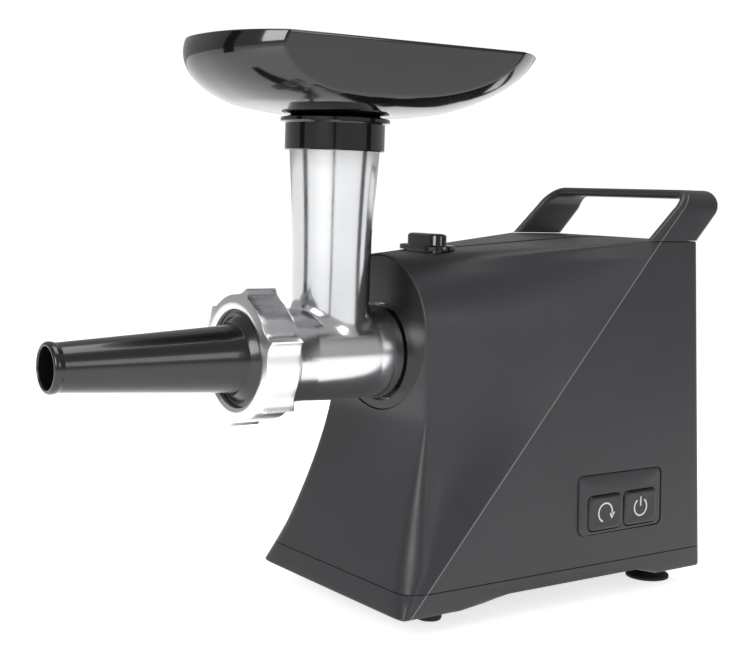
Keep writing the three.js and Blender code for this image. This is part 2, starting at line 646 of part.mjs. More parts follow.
// Plan of the tray at one height: a squarish oval whose middle moves from the rim's to the tube's,
// cut on each side by a flat wall that splays backwards and leans inwards.
function trayLevel(z, inset) {
  const drop = (tray.rimZ - z) / (tray.rimZ - flangeTopZ);
  const middleY = tray.bowlY + (head.tubeY - tray.bowlY) * drop;
  const depth = min((tray.bowlTopZ - z) / (tray.bowlDepth - inset), 1);
  const share = (1 - depth ** tray.depthPower) ** (1 / tray.depthPower);
  const oval = (turn) => {
    const [c, s] = [cos(turn), sin(turn)];
    const reach = share / (abs(c) ** tray.planPower + abs(s) ** tray.planPower) ** (1 / tray.planPower);
    return [(tray.bowlHalfX - inset) * reach * c, middleY + (tray.bowlHalfY - inset) * reach * s];
  };
  const wallX = (y) => tray.sideX + tray.sideSplay * (y - head.tubeY) - tray.sideLean * (tray.rimZ - z) - inset;
  const cornerTurn = (end) => {
    let [low, high] = [0.1, PI / 2];
    for (let i = 0; i < 30; i += 1) {
      const turn = (low + high) / 2;
      const [x, y] = oval(end * turn);
      if (x > wallX(y)) low = turn;
      else high = turn;
    }
    return low;
  };
  const [front, rear] = [cornerTurn(-1), cornerTurn(1)];
  const ends = [-front, rear, PI - rear, PI + front, 2 * PI - front];
  return traySpans.flatMap((count, span) => Array.from({ length: count }, (_, i) => {
    const [x, y] = oval(ends[span] + (ends[span + 1] - ends[span]) * i / count);
    return [max(min(x, wallX(y)), -wallX(y)), y, z];
  }));
}

function trayBody() {
  const circle = (radius, z) => Array.from({ length: trayColumns }, (_, c) => {
    const turn = 2 * PI * (c - traySpans[0] / 2) / trayColumns;
    return [radius * cos(turn), head.tubeY + radius * sin(turn), z];
  });
  const between = (from, to, share) => from.map((point, c) =>
    point.map((value, k) => value + (to[c][k] - value) * (k < 2 ? share : share * share)));
  const heights = [281, 286, 293, 301, tray.rimZ];
  const neck = circle(tray.collarRadius - 3, flangeTopZ + tray.neckRise);
  const floor = circle(tray.bore, flangeTopZ + tray.floorRise);
  const outerLow = trayLevel(tray.lowZ, 0);
  const innerLow = trayLevel(tray.lowZ, tray.wall);
  const socket = head.tubeTopRadius + GAP;
  const seat = head.tubeTopZ + GAP;
  return loft([
    circle(socket, tray.collarBottomZ), circle(tray.collarRadius, tray.collarBottomZ),
    circle(tray.collarRadius, tray.flangeZ), circle(tray.flangeRadius, tray.flangeZ),
    circle(tray.flangeRadius, flangeTopZ), circle(tray.collarRadius, flangeTopZ), neck,
    between(neck, outerLow, 0.5), outerLow,
    ...heights.map((z) => trayLevel(z, 0)), ...heights.reverse().map((z) => trayLevel(z, tray.wall)),
    innerLow, between(floor, innerLow, 0.5), floor,
    circle(tray.bore, seat), circle(socket, seat),
  ], true);
}

// ---------------------------------------------------------------- motor

function statorCore() {
  const outline = circlePoints(motor.radius, 32, ...motorAt).map(([x, z]) => [
    max(min(x, motor.radius - motor.flat), motor.flat - motor.radius), z]);
  const bore = circlePoints(motor.armatureRadius + motor.airGap, 24, ...motorAt);
  const slots = sides.map((side) => {
    const z = motorAt[1] + side * coilSlot.offset;
    const { halfWidth, halfHeight } = coilSlot;
    return plateAlongY(roundedBox(-halfWidth, halfWidth, z - halfHeight, z + halfHeight, 2, 2),
      motor.coreY[0] - WALL, motor.coreY[1] + WALL);
  });
  return cut(plateAlongY(outline, ...motor.coreY, [bore.reverse()]), ...slots);
}

function fieldCoil(side) {
  const z = motorAt[1] + side * coilSlot.offset;
  const [halfWide, halfHigh] = [coilSlot.halfWidth - RUNNING, coilSlot.halfHeight - RUNNING];
  return plateAlongY(roundedBox(-halfWide, halfWide, z - halfHigh, z + halfHigh, 2, 2),
    motor.coreY[0] - coilSlot.overhang, motor.coreY[1] + coilSlot.overhang);
}

// End bracket: a bearing boss on a bridge that spans the stator, with two legs to the core.
function motorBracket(y, toY) {
  const [x, z] = motorAt;
  const bridge = plateAlongY(roundedBox(-34, 34, z - 13, z + 13, 6, 3), y, y + motor.bracket);
  const legs = [-1, 1].map((side) => box(min(side * 28.5, side * 33.5), max(side * 28.5, side * 33.5),
    min(y + 1, toY), max(y + motor.bracket - 1, toY), z - 6, z + 6));
  const bore = turnedY(rod(motor.bearingRadius + GAP, y - 8, y + motor.bracket + 8), 16, x, z);
  return cut(join(bridge, ...legs), bore);
}

const motorBearing = (y) => turnedY(
  sleeve(motor.shaftRadius + GAP, motor.bearingRadius, y, y + motor.bearingWidth), 16, ...motorAt);

const motorShaft = () => turnedY(rod(motor.shaftRadius, gearing.first.y[0], motor.shaftEndY), 16, ...motorAt);

function armature() {
  const slots = 12;
  const outline = [];
  for (let i = 0; i < slots; i += 1) {
    for (const [share, radius] of [[0.08, 13], [0.08, motor.armatureRadius], [0.92, motor.armatureRadius], [0.92, 13]]) {
      const turn = 2 * PI * (i + share) / slots;
      outline.push([radius * cos(turn) + motorAt[0], radius * sin(turn) + motorAt[1]]);
    }
  }
  const bore = circlePoints(motor.shaftRadius + GAP, 16, ...motorAt).reverse();
  return plateAlongY(outline, motor.coreY[0] + 1, motor.coreY[1] - 1, [bore]);
}

const commutator = () => turnedY(
  sleeve(motor.shaftRadius + GAP, motor.commutatorRadius, ...motor.commutatorY), 16, ...motorAt);

function coolingFan() {
  const [y0, y1] = motor.fanY;
  const hub = turnedY(sleeve(motor.shaftRadius + GAP, 10, y0, y1), 16, ...motorAt);
  const disc = turnedY(sleeve(9, motor.fanRadius, y0, y0 + 1.8), 16, ...motorAt);
  const blades = [];
  for (let i = 0; i < 8; i += 1) {
    const blade = plateAlongY(roundedBox(8.5, motor.fanRadius - 1, -1, 1, 0.4, 1), y0 + 1, y1);
    blades.push(blade.rotateY(45 * i * DEG).translate(motorAt[0], 0, motorAt[1]));
  }
  return join(hub, disc, ...blades);
}

function brush(side) {
  const [y0, y1] = motor.commutatorY;
  const near = motor.commutatorRadius + RUNNING;
  const x = [side * near, side * (near + 15)].sort((a, b) => a - b);
  return box(...x, y0 + 1, y1 - 1, motorAt[1] - 3.5, motorAt[1] + 3.5);
}

// ---------------------------------------------------------------- controls

// A frame let into the side panel, proud at its front end and nearly flush at its rear.
function buttonPanel() {
  const [y0, y1, z0, z1] = [panel.frontY, panel.rearY, panel.bottomZ, panel.topZ];
  const face = (y) => panelX + panel.proudFront + (panel.proudRear - panel.proudFront) * (y - y0) / (y1 - y0);
  const low = panelX - panel.sunk;
  const outline = roundedBox(y0, y1, z0, z1, panel.corner);
  const rings = [() => low, (y, z) => face(y) - (z - z0) * body.draft]
    .map((place) => outline.map(([y, z]) => [place(y, z), y, z]));
  const openings = [0, 1].map((i) => plateAlongX(buttonOutline(i, RUNNING), low - 5, panelX + 10));
  return cut(loft(rings), ...openings);
}

function buttonOutline(i, grow) {
  const y = button.firstY + i * button.pitch;
  return roundedBox(y - grow, y + button.width + grow, button.bottomZ - grow,
    button.bottomZ + button.height + grow, 3.4 + grow);
}

function pushButton(i) {
  const middle = button.firstY + i * button.pitch + button.width / 2;
  const share = (middle - panel.frontY) / (panel.rearY - panel.frontY);
  const face = panelX + panel.proudFront + (panel.proudRear - panel.proudFront) * share + button.proud;
  const cap = plateAlongX(buttonOutline(i, 0), panelX - panel.sunk, face);
  const z = button.bottomZ + button.height / 2;
  const stem = plateAlongX(circlePoints(3, 16, middle, z), panelX - panel.sunk - 4, panelX - panel.sunk + 1);
  return join(cap, stem);
}

const buttonMiddle = (i) => button.firstY + i * button.pitch + button.width / 2;
const switchX = panelX - panel.sunk - 4 - button.travel - RUNNING;

const switchBlock = () => box(switchX - 11, switchX, panel.frontY + 4, panel.rearY - 2, panel.bottomZ + 2, panel.topZ - 4);
const controlBoard = () => box(switchX - 11 - GAP - 1.8, switchX - 11 - GAP, panel.frontY, panel.rearY + 8, 34, 92);

const lockBezel = () => plateAlongZ(stadium(lock.flat / 2, bezelRadius, 0, lock.y),
  lock.bezelTopZ - lock.bezelHeight, lock.bezelTopZ,
  [stadium(lock.flat / 2, lock.radius + RUNNING, 0, lock.y).reverse()]);

// The pin and the spring end above the gearbox; the pin keeps clear of it when pressed.
const caseTopZ = head.axisZ + wheelTip(gearing.third) + gearing.caseMargin + gearing.caseWall;
const pinBottomZ = caseTopZ + lock.travel + RUNNING;
const springBottomZ = caseTopZ + GAP + lock.wire / 2;
const springTopZ = lock.bottomZ - GAP - lock.wire / 2;

function lockButton() {
  const top = plateAlongZ(stadium(lock.flat / 2, lock.radius, 0, lock.y), lock.bottomZ, lock.topZ);
  const pin = turnedZ(rod(lock.pinRadius, pinBottomZ, lock.bottomZ + 1), 16, 0, lock.y);
  return join(top, pin);
}

function lockSpring() {
  class Helix extends THREE.Curve {
    getPoint(t, target = new THREE.Vector3()) {
      const turn = 2 * PI * lock.coils * t;
      return target.set(lock.coilRadius * cos(turn), lock.y + lock.coilRadius * sin(turn),
        springBottomZ + (springTopZ - springBottomZ) * t);
    }
  }
  const section = shapeOf(circlePoints(lock.wire / 2, 5));
  const steps = lock.coils * 10;
  return new THREE.ExtrudeGeometry(section, { steps, bevelEnabled: false, extrudePath: new Helix() });
}

// ---------------------------------------------------------------- feet, gland, screws

const pegTopZ = body.seamZ - 1;
const neckTopZ = body.bottomZ - GAP;

function frontFoot(x, y) {
  return turnedZ([[0, 0], [foot.radius - 1, 0], [foot.radius, 1.2], [foot.radius, neckTopZ],
    [foot.pegRadius, neckTopZ], [foot.pegRadius, pegTopZ], [0, pegTopZ]], 16, x, y);
}

// Suction foot: a wide thin brim, hollow below, on a neck.
function rearFoot(x, y) {
  return turnedZ([[0, 2], [6, 1.9], [11.2, 0], [foot.brimRadius, 0], [foot.brimRadius, foot.brimHeight - 1.4],
    [foot.brimRadius - 3, foot.brimHeight], [foot.radius, foot.brimHeight + 1.4], [foot.radius, neckTopZ],
    [foot.pegRadius, neckTopZ], [foot.pegRadius, pegTopZ], [0, pegTopZ]], 20, x, y);
}

function baseScrew(x, y) {
  const seat = undersideZ - GAP;
  const low = seat - screw.headHeight;
  return turnedZ([[0, low], [screw.headRadius, low], [screw.headRadius, seat], [screw.radius, seat],
    [screw.radius, seat + screw.length], [0, seat + screw.length]], 8, x, y);
}

function cordGland() {
  const wall = rearY(gland.z);
  const [front, rear] = [wall - gland.inside, wall + gland.outside];
  const reach = gland.radius + gland.flange;
  const shoulder = min(rearY(gland.z - reach), rearY(gland.z + reach)) - WALL - GAP;
  const profile = [[gland.bore, front], [reach, front], [reach, shoulder], [gland.radius, shoulder],
    [gland.radius, rear], [gland.bore, rear], [gland.bore, front]];
  return turnedY(profile, 20, gland.x, gland.z);
}

// ---------------------------------------------------------------- assembly

const grinder = new THREE.Group();
grinder.name = 'meat_grinder';

function add(name, geometry, material) {
  const ready = clean(geometry);
  ready.computeVertexNormals();
  const mesh = new THREE.Mesh(ready, material);
  mesh.name = name;
  grinder.add(mesh);
}

add('main_housing', mainHousing(), charcoal);
add('carry_handle', carryHandle(), charcoal);
add('base_cover', baseCover(), charcoal);
add('front_plate', frontPlate(), darkPlastic);
add('head_socket', headSocket(), castAluminium);

const { first, second, third } = gearing;
const wheelHole = gearing.shaftRadius + GAP;
add('gearbox_case', gearboxCase(), whiteNylon);
add('gearbox_cover', gearboxCover(), castAluminium);
add('motor_pinion', gear(first.pinion, first, motorAt, bearingTo(motorAt, firstAt), motor.shaftRadius + GAP), steel);
add('first_wheel', gear(first.wheel, first, firstAt, meshPhase(motorAt, firstAt, first.wheel), wheelHole), whiteNylon);
add('second_pinion', gear(second.pinion, second, firstAt, bearingTo(firstAt, secondAt), wheelHole), steel);
add('second_wheel', gear(second.wheel, second, secondAt, meshPhase(firstAt, secondAt, second.wheel), wheelHole), whiteNylon);
add('third_pinion', gear(third.pinion, third, secondAt, bearingTo(secondAt, outputAt), wheelHole), steel);
add('output_wheel', gear(third.wheel, third, outputAt, meshPhase(secondAt, outputAt, third.wheel), 8 + GAP), steel);
add('first_shaft', gearShaft(firstAt), steel);
add('second_shaft', gearShaft(secondAt), steel);
for (const [name, at] of [['first', firstAt], ['second', secondAt]]) {
  add(`${name}_shaft_front_bush`, bush(at, gearing.shaftRadius, 6.5, caseFrontY, caseSplitY), brass);
  add(`${name}_shaft_rear_bush`, bush(at, gearing.shaftRadius, 6.5, caseRearY - 3, caseRearY), brass);
}
add('output_shaft', outputShaft(), steel);
add('output_front_bush', bush(outputAt, 9.6, 13, caseFrontY, caseSplitY), brass);
add('output_rear_bush', bush(outputAt, 6, 9, caseRearY - 3, caseRearY), brass);

add('stator_core', statorCore(), laminations);
add('field_coil_upper', fieldCoil(1), copper);
add('field_coil_lower', fieldCoil(-1), copper);
add('motor_front_bracket', motorBracket(motor.frontBracketY, motor.coreY[0] - GAP), castAluminium);
add('motor_rear_bracket', motorBracket(motor.rearBracketY, motor.coreY[1] + GAP), castAluminium);
add('motor_front_bearing', motorBearing(motor.frontBracketY), brass);
add('motor_rear_bearing', motorBearing(motor.rearBracketY), brass);
add('motor_shaft', motorShaft(), steel);
add('armature', armature(), laminations);
add('commutator', commutator(), copper);
add('cooling_fan', coolingFan(), whiteNylon);
add('brush_left', brush(-1), brass);
add('brush_right', brush(1), brass);

add('auger', auger(), castAluminium);
add('head_casting', headCasting(), castAluminium);
add('auger_bush', augerBush(), whiteNylon);
add('ring_nut', ringNut(), castAluminium);
add('stuffing_tube', stuffingTube(), satinBlack);
add('separator_disc', separatorDisc(), satinBlack);
add('meat_tray', trayBody(), glossBlack);

add('button_panel', buttonPanel(), charcoal);
add('reverse_button', pushButton(0), darkPlastic);
add('power_button', pushButton(1), darkPlastic);
add('switch_block', switchBlock(), satinBlack);
add('control_board', controlBoard(), boardGreen);
add('lock_bezel', lockBezel(), glossBlack);
add('lock_button', lockButton(), glossBlack);
add('lock_spring', lockSpring(), steel);

for (const [side, x] of [['right', foot.x], ['left', -foot.x]]) {
  add(`front_foot_${side}`, frontFoot(x, foot.frontY), rubber);
  add(`rear_foot_${side}`, rearFoot(x, foot.rearY), rubber);
}
screwPlaces.forEach(([x, y], i) => add(`base_screw_${i + 1}`, baseScrew(x, y), steel));
add('cord_gland', cordGland(), rubber);

grinder.position.y = -(stuffer.tipY + handle.rearY) / 2;
grinder.updateMatrixWorld(true);

export default grinder;
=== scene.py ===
import json
import math

import bmesh
import bpy
import numpy as np
from mathutils import Matrix, Vector


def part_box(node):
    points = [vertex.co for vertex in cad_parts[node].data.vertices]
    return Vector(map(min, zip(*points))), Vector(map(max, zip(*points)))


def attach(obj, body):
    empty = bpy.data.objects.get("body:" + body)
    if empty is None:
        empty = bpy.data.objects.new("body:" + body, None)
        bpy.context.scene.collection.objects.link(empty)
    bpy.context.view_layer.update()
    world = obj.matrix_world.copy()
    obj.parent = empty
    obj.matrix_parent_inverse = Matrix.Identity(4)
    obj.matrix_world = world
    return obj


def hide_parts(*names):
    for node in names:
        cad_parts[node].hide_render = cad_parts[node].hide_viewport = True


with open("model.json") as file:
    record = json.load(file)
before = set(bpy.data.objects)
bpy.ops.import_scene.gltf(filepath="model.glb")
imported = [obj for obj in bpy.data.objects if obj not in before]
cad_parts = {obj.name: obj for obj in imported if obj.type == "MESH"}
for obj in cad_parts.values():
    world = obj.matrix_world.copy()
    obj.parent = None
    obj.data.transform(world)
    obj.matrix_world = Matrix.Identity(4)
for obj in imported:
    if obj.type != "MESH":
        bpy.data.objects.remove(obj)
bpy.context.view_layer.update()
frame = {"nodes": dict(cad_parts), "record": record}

# ------------------------------------------------------------------ camera, floor and light
# The appliance stands on a plain pale table in a bright studio. A long lens looks at its
# front and button side from the height of its handle, tilted slightly down.

azimuth, looks_down, leans = map(math.radians, (54.39, 5.49, 1.75))
back = Vector((math.sin(azimuth) * math.cos(looks_down), -math.cos(azimuth) * math.cos(looks_down),
               math.sin(looks_down)))
level_right = Vector((math.cos(azimuth), math.sin(azimuth), 0))
level_up = back.cross(level_right)
camera_right = level_right * math.cos(leans) + level_up * math.sin(leans)
camera_up = level_up * math.cos(leans) - level_right * math.sin(leans)
camera = bpy.data.objects.new("camera", bpy.data.cameras.new("camera"))
camera.data.lens = 65.4
camera_place = (0.6207, -0.4521, 0.2324)
camera.matrix_world = Matrix.Translation(camera_place) @ Matrix(
    (camera_right, camera_up, back)).transposed().to_4x4()
bpy.context.scene.collection.objects.link(camera)
bpy.context.scene.camera = camera
bpy.context.scene.view_settings.view_transform = "Standard"


class Signal:
    """One output of a finish's nodes. Each operator adds a Math node and gives its output."""

    def __init__(self, finish, socket):
        self.finish = finish
        self.socket = socket

    def _math(self, operation, first, second):
        return self.finish.node("ShaderNodeMath", {"operation": operation}, {0: first, 1: second})

    def __add__(self, other):
        return self._math("ADD", self, other)

    def __sub__(self, other):
        return self._math("SUBTRACT", self, other)

    def __mul__(self, other):
        return self._math("MULTIPLY", self, other)

    def __gt__(self, other):
        return self._math("GREATER_THAN", self, other)


class Finish:
    """A material made of one glossy shader and the nodes that feed it."""

    def __init__(self, name, **constants):
        self.material = bpy.data.materials.new(name)
        self.material.use_nodes = True
        self.tree = self.material.node_tree
        self.shader = self.tree.nodes["Principled BSDF"]
        self.place = self.node("ShaderNodeTexCoord", output="Object")
        for socket, value in constants.items():
            self.feed(socket.replace("_", " ").title().replace("Ior", "IOR"), value)

    def node(self, kind, settings=None, inputs=None, output=0):
        """Adds a node: its settings first, then values or links on its sockets."""
        made = self.tree.nodes.new(kind)
        for setting, value in (settings or {}).items():
            setattr(made, setting, value)
        for socket, value in (inputs or {}).items():
            self.join(value, made.inputs[socket])
        return Signal(self, made.outputs[output])

    def join(self, value, socket):
        if isinstance(value, Signal):
            self.tree.links.new(value.socket, socket)
        else:
            socket.default_value = value

    def feed(self, socket, value):
        self.join(value, self.shader.inputs[socket])

    def noise(self, scale, detail=3.0, roughness=0.55, stretch=(1, 1, 1)):
        """Cloudy values round a half, `scale` of them to a metre, stretched along the axes."""
        place = self.node("ShaderNodeMapping", {}, {"Vector": self.place, "Scale": stretch})
        return self.node("ShaderNodeTexNoise", {}, {
            "Vector": place, "Scale": scale, "Detail": detail, "Roughness": roughness})

    def blend(self, share, first, second):
        """A colour between two colours."""
        return self.node("ShaderNodeMix", {"data_type": "RGBA"}, {
            0: share, 6: (*first, 1), 7: (*second, 1)}, output=2)

    def relief(self, height, depth):
        """Tilts the surface as a relief of that height signal would; depth is in metres."""
        self.feed("Normal", self.node("ShaderNodeBump", {}, {
            "Strength": 1.0, "Distance": depth, "Height": height}))


table_finish = Finish("pale_table", roughness=0.6, emission_strength=0.72)
table_finish.feed("Base Color", table_finish.blend(
    table_finish.noise(3.0), (0.86, 0.86, 0.86), (0.9, 0.9, 0.9)))
table_finish.feed("Emission Color", table_finish.blend(
    table_finish.noise(3.0), (0.98, 0.98, 0.98), (1.0, 1.0, 1.0)))
table_finish.relief(table_finish.noise(900.0), 0.00002)
table_half = 9.0
table = bpy.data.objects.new("table", bpy.data.meshes.new("table"))
table.data.from_pydata([(-table_half, -table_half, 0), (table_half, -table_half, 0),
                        (table_half, table_half, 0), (-table_half, table_half, 0)], [], [(0, 1, 2, 3)])
table.data.materials.append(table_finish.material)
bpy.context.scene.collection.objects.link(table)

room = bpy.data.worlds.new("studio")
room.use_nodes = True
room_light = room.node_tree.nodes["Background"]
room_light.inputs["Color"].default_value = (1, 1, 1, 1)
seen = room.node_tree.nodes.new("ShaderNodeLightPath")
brightness = room.node_tree.nodes.new("ShaderNodeMapRange")
room_dim, room_seen = 0.42, 1.05
brightness.inputs["To Min"].default_value = room_dim
brightness.inputs["To Max"].default_value = room_seen
room.node_tree.links.new(seen.outputs["Is Camera Ray"], brightness.inputs["Value"])
room.node_tree.links.new(brightness.outputs["Result"], room_light.inputs["Strength"])
bpy.context.scene.world = room


def soft_box(name, place, aim, size, power):
    """A square lamp of that size at a place, facing the aim."""
    lamp = bpy.data.lights.new(name, "AREA")
    lamp.shape = "SQUARE"
    lamp.size = size
    lamp.energy = power
    holder = bpy.data.objects.new(name, lamp)
    holder.location = place
    holder.rotation_mode = "QUATERNION"
    holder.rotation_quaternion = (Vector(aim) - Vector(place)).to_track_quat("-Z", "Y")
    bpy.context.scene.collection.objects.link(holder)


soft_box("overhead_box", (0.0, 0.1, 1.5), (0, 0, 0.15), 0.9, 9.0)
soft_box("front_box", (0.75, -1.45, 0.85), (0, 0, 0.15), 0.8, 15.0)
soft_box("side_box", (1.55, 0.45, 0.7), (0, 0.05, 0.15), 0.5, 2.5)

card_finish = Finish("black_card", roughness=0.9)
card_finish.feed("Base Color", card_finish.blend(
    card_finish.noise(5.0), (0.01, 0.01, 0.01), (0.02, 0.02, 0.02)))


def black_card(name, stand, aim, wide, high):
    """An upright card that only shows in reflections, to draw dark lines on polished metal."""
    card = bpy.data.objects.new(name, bpy.data.meshes.new(name))
    outwards = (Vector(aim) - Vector(stand)).normalized()
    along = outwards.cross(Vector((0, 0, 1))) * wide / 2
    up = Vector((0, 0, high / 2))
    middle = Vector(stand)
    corners = [middle + along * a + up * b for a, b in ((-1, -1), (1, -1), (1, 1), (-1, 1))]
    card.data.from_pydata(corners, [], [(0, 1, 2, 3)])
    card.data.materials.append(card_finish.material)
    card.visible_camera = card.visible_diffuse = card.visible_shadow = False
    bpy.context.scene.collection.objects.link(card)


black_card("left_card", (-0.55, -1.3, 0.4), (0, 0, 0.2), 0.35, 1.6)
black_card("middle_card", (1.0, -0.72, 0.5), (0, 0, 0.2), 0.12, 1.2)
black_card("right_card", (0.75, 0.85, 0.5), (0, 0, 0.2), 0.3, 1.6)

# ------------------------------------------------------------------ motor housing
# One moulding of charcoal plastic: an arched front, cheeks that flare down to the foot and
# back to a crease on each flat side panel. It is lowered over the base and screwed to it.

skirt_reach, seam_z, foot_z = 30.0, 24.5, 12.0
front_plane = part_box("base_cover")[0][1] * 1000 + skirt_reach
arch_radius, arch_z, rear_top_z = 44.4, 155.0, 209.5
half_foot, draft, wall = 70.6, 0.042, 2.6
plate_radius, gap = 43.2, 0.35
skirt_top_z, skirt_power, flare_power = 111.5, 1.2, 2.2
corner_low, corner_high = 12.0, 1.6
crease_foot_y, crease_slope, crease_top_y = -24.5, 0.925, 150.0
rear_foot_y, rear_top_y, rear_corner, shoulder = 197.6, 190.0, 4.0, 1.2


def place(points):
    """Millimetres from the front plate, turned into metres in the frame."""
    return (np.asarray(points, float) + (0, front_plane, 0)) / 1000


def solid(name, points, faces):
    """A closed mesh in millimetres: doubles merged, faces turned outwards, smooth but for edges."""
    mesh = bpy.data.meshes.new(name)
    mesh.from_pydata(place(points).tolist(), [], faces)
    work = bmesh.new()
    work.from_mesh(mesh)
    bmesh.ops.remove_doubles(work, verts=work.verts, dist=2e-6)
    bmesh.ops.dissolve_degenerate(work, edges=work.edges, dist=1e-6)
    bmesh.ops.recalc_face_normals(work, faces=work.faces)
    work.to_mesh(mesh)
    work.free()
    made = bpy.data.objects.new(name, mesh)
    bpy.context.scene.collection.objects.link(made)
    smooth(made)
    return made


def smooth(made, edge=32.0):
    """Smooth shading, with edges sharper than that angle kept crisp."""
    made.data.shade_smooth()
    made.data.set_sharp_from_angle(angle=math.radians(edge))


def lattice(rows, columns, start=0, ring=False):
    """Faces between neighbouring points of a grid whose columns close on themselves; with
    ring, its last row joins its first."""
    r, c = np.meshgrid(np.arange(rows if ring else rows - 1), np.arange(columns), indexing="ij")
    below, above = r * columns, (r + 1) % rows * columns
    beside = (c + 1) % columns
    return (np.stack([below + c, below + beside, above + beside, above + c], -1) + start).reshape(-1, 4)


def skin(name, grid, ring=False):
    """A solid whose surface is a rows x columns grid of points, its end rows closed by fans."""
    rows, columns, _ = grid.shape
    points = grid.reshape(-1, 3)
    faces = lattice(rows, columns, ring=ring).tolist()
    if not ring:
        c = np.arange(columns)
        for row, middle in ((0, rows * columns), (rows - 1, rows * columns + 1)):
            fan = np.stack([np.full(columns, middle), row * columns + c,
                            row * columns + (c + 1) % columns], -1)
            faces += fan.tolist()
        points = np.concatenate([points, grid[[0, -1]].mean(axis=1)])
    return solid(name, points, faces)


def carve(made, *tools, operation="DIFFERENCE"):
    """Cuts the tools out of a piece, or joins them to it, and removes them."""
    for tool in tools:
        cut = made.modifiers.new("cut", "BOOLEAN")
        cut.operation, cut.solver, cut.object = operation, "EXACT", tool
        bpy.context.view_layer.update()
        worked_out = made.evaluated_get(bpy.context.evaluated_depsgraph_get())
        made.data = bpy.data.meshes.new_from_object(worked_out)
        made.modifiers.clear()
        bpy.data.objects.remove(tool)
    smooth(made)
    return made


def mix(start, end, share):
    """Points a share of the way from start to end."""
    return start + (end - start) * share


def rounded_path(corners, radii, legs, bend=6):
    """Points along a run of straight legs whose corners are rounded: near a corner the path
    follows the quadratic curve that touches both legs one radius away from it."""
    runs = []
    start = corners[0]
    for i in range(1, len(corners) - 1):
        corner = corners[i]
        ends = []
        for other in (corners[i - 1], corners[i + 1]):
            leg = other - corner
            length = np.linalg.norm(leg, axis=-1, keepdims=True)
            reach = np.minimum(radii[i - 1], length * 0.45)
            ends.append(corner + leg * reach / np.maximum(length, 1e-9))
        runs.append(mix(start[:, None], ends[0][:, None], np.linspace(0, 1, legs[i - 1])[None, :, None]))
        t = np.linspace(0, 1, bend + 1)[None, 1:-1, None]
        runs.append(ends[0][:, None] * (1 - t) ** 2 + 2 * corner[:, None] * t * (1 - t)
                    + ends[1][:, None] * t**2)
        start = ends[1]
    runs.append(mix(start[:, None], corners[-1][:, None], np.linspace(0, 1, legs[-1])[None, :, None]))
    return np.concatenate(runs, axis=1)


def stack(*values):
    """Coordinates broadcast together and put side by side as points."""
    return np.stack(np.broadcast_arrays(*values), axis=-1).astype(float)


def side_x(z):
    """Half width of the flat side panels, which lean in by the draft."""
    return half_foot - draft * (z - foot_z)


def crease_y(z):
    """The crease climbs a straight slope from the foot, up to where it ends."""
    return np.minimum(crease_foot_y + crease_slope * (z - foot_z), crease_top_y)


def rear_y(z):
    """The rear wall leans evenly forwards from foot to top."""
    return mix(rear_foot_y, rear_top_y, np.clip((z - foot_z) / (rear_top_z - foot_z), 0, 1))


def below(z, top):
    """1 at the foot, falling evenly to 0 at that height."""
    return np.clip((top - z) / (top - foot_z), 0, 1)


def housing_rows(front, crease, rear, corner, inset, hollow):
    """Rings round the housing: along the front, round the corner, over the hollowed cheek to
    the crease, along the side panel, round the rear corner to the middle, then mirrored."""
    shift_x, shift_y = np.array([inset, 0, 0]), np.array([0, inset, 0])
    front, crease, rear = front - shift_x + shift_y, crease - shift_x, rear - shift_x - shift_y
    for points in (front, crease, rear):
        points[:, 0] = np.maximum(points[:, 0], 0)
    middle = np.array([0, 1, 1])
    legs = (10, 22, 14, 8)
    half = rounded_path([front * middle, front, crease, rear, rear * middle],
                        [corner[:, None], 0.8, rear_corner], legs, bend=8)
    cheek = np.zeros(half.shape[1])
    start = legs[0] + 7
    cheek[start:start + legs[1]] = np.sin(np.linspace(0, 1, legs[1]) ** 0.7 * math.pi) ** 1.5
    half[..., 0] -= np.minimum(hollow[:, None] * cheek, half[..., 0] * 0.5)
    return np.concatenate([half, half[:, -2:0:-1] * (-1, 1, 1)], axis=1)


def straight_rows(z, inset=0.0, hollow_depth=2.2):
    """The rings below the arch: all level, flaring towards the foot."""
    front = stack(arch_radius + (half_foot - arch_radius) * below(z, arch_z) ** flare_power,
                  -skirt_reach * below(z, skirt_top_z) ** skirt_power, z)
    corner = corner_high + (corner_low - corner_high) * below(z, skirt_top_z)
    hollow = hollow_depth * np.sin(np.clip(below(z, arch_z), 0, 1) * math.pi) ** 2
    return housing_rows(front, stack(side_x(z), crease_y(z), z), stack(side_x(z), rear_y(z), z),
                        corner, inset, hollow)


def arched_rows(share, inset=0.0):
    """The rings over the arch: their front ends climb the arch while their rear ends climb to
    the shoulder, round it, and cross the flat top to the middle."""
    turn = share * math.pi / 2
    radius = arch_radius - inset
    front = stack(radius * np.cos(turn) + inset, 0, arch_z + radius * np.sin(turn))
    bent = 0.7
    rise, over = np.minimum(share / bent, 1), np.maximum(0, (share - bent) / (1 - bent))
    z = arch_z + (rear_top_z - shoulder - arch_z) * rise
    bow, flat = np.minimum(over * 2, 1) * math.pi / 2, np.maximum(0, over * 2 - 1)
    x = (side_x(z) - shoulder * (1 - np.cos(bow))) * (1 - flat) + inset * flat
    top = z + shoulder * np.sin(bow) - inset * rise
    return housing_rows(front, stack(x, crease_y(z), top), stack(x, rear_y(z), top),
                        np.full(len(share), corner_high), inset, np.zeros(len(share)))


def housing_form(name, bottom_z, inset=0.0, levels=44, turns=56):
    """The whole housing as a solid: level rings up to the arch, then the rings over it."""
    low = straight_rows(np.linspace(bottom_z, arch_z, levels), inset)
    high = arched_rows(np.linspace(0, 1, turns)[1:], inset)
    shut = low[:1] * (0, 1, 1)
    return skin(name, np.concatenate([shut, low, high]))


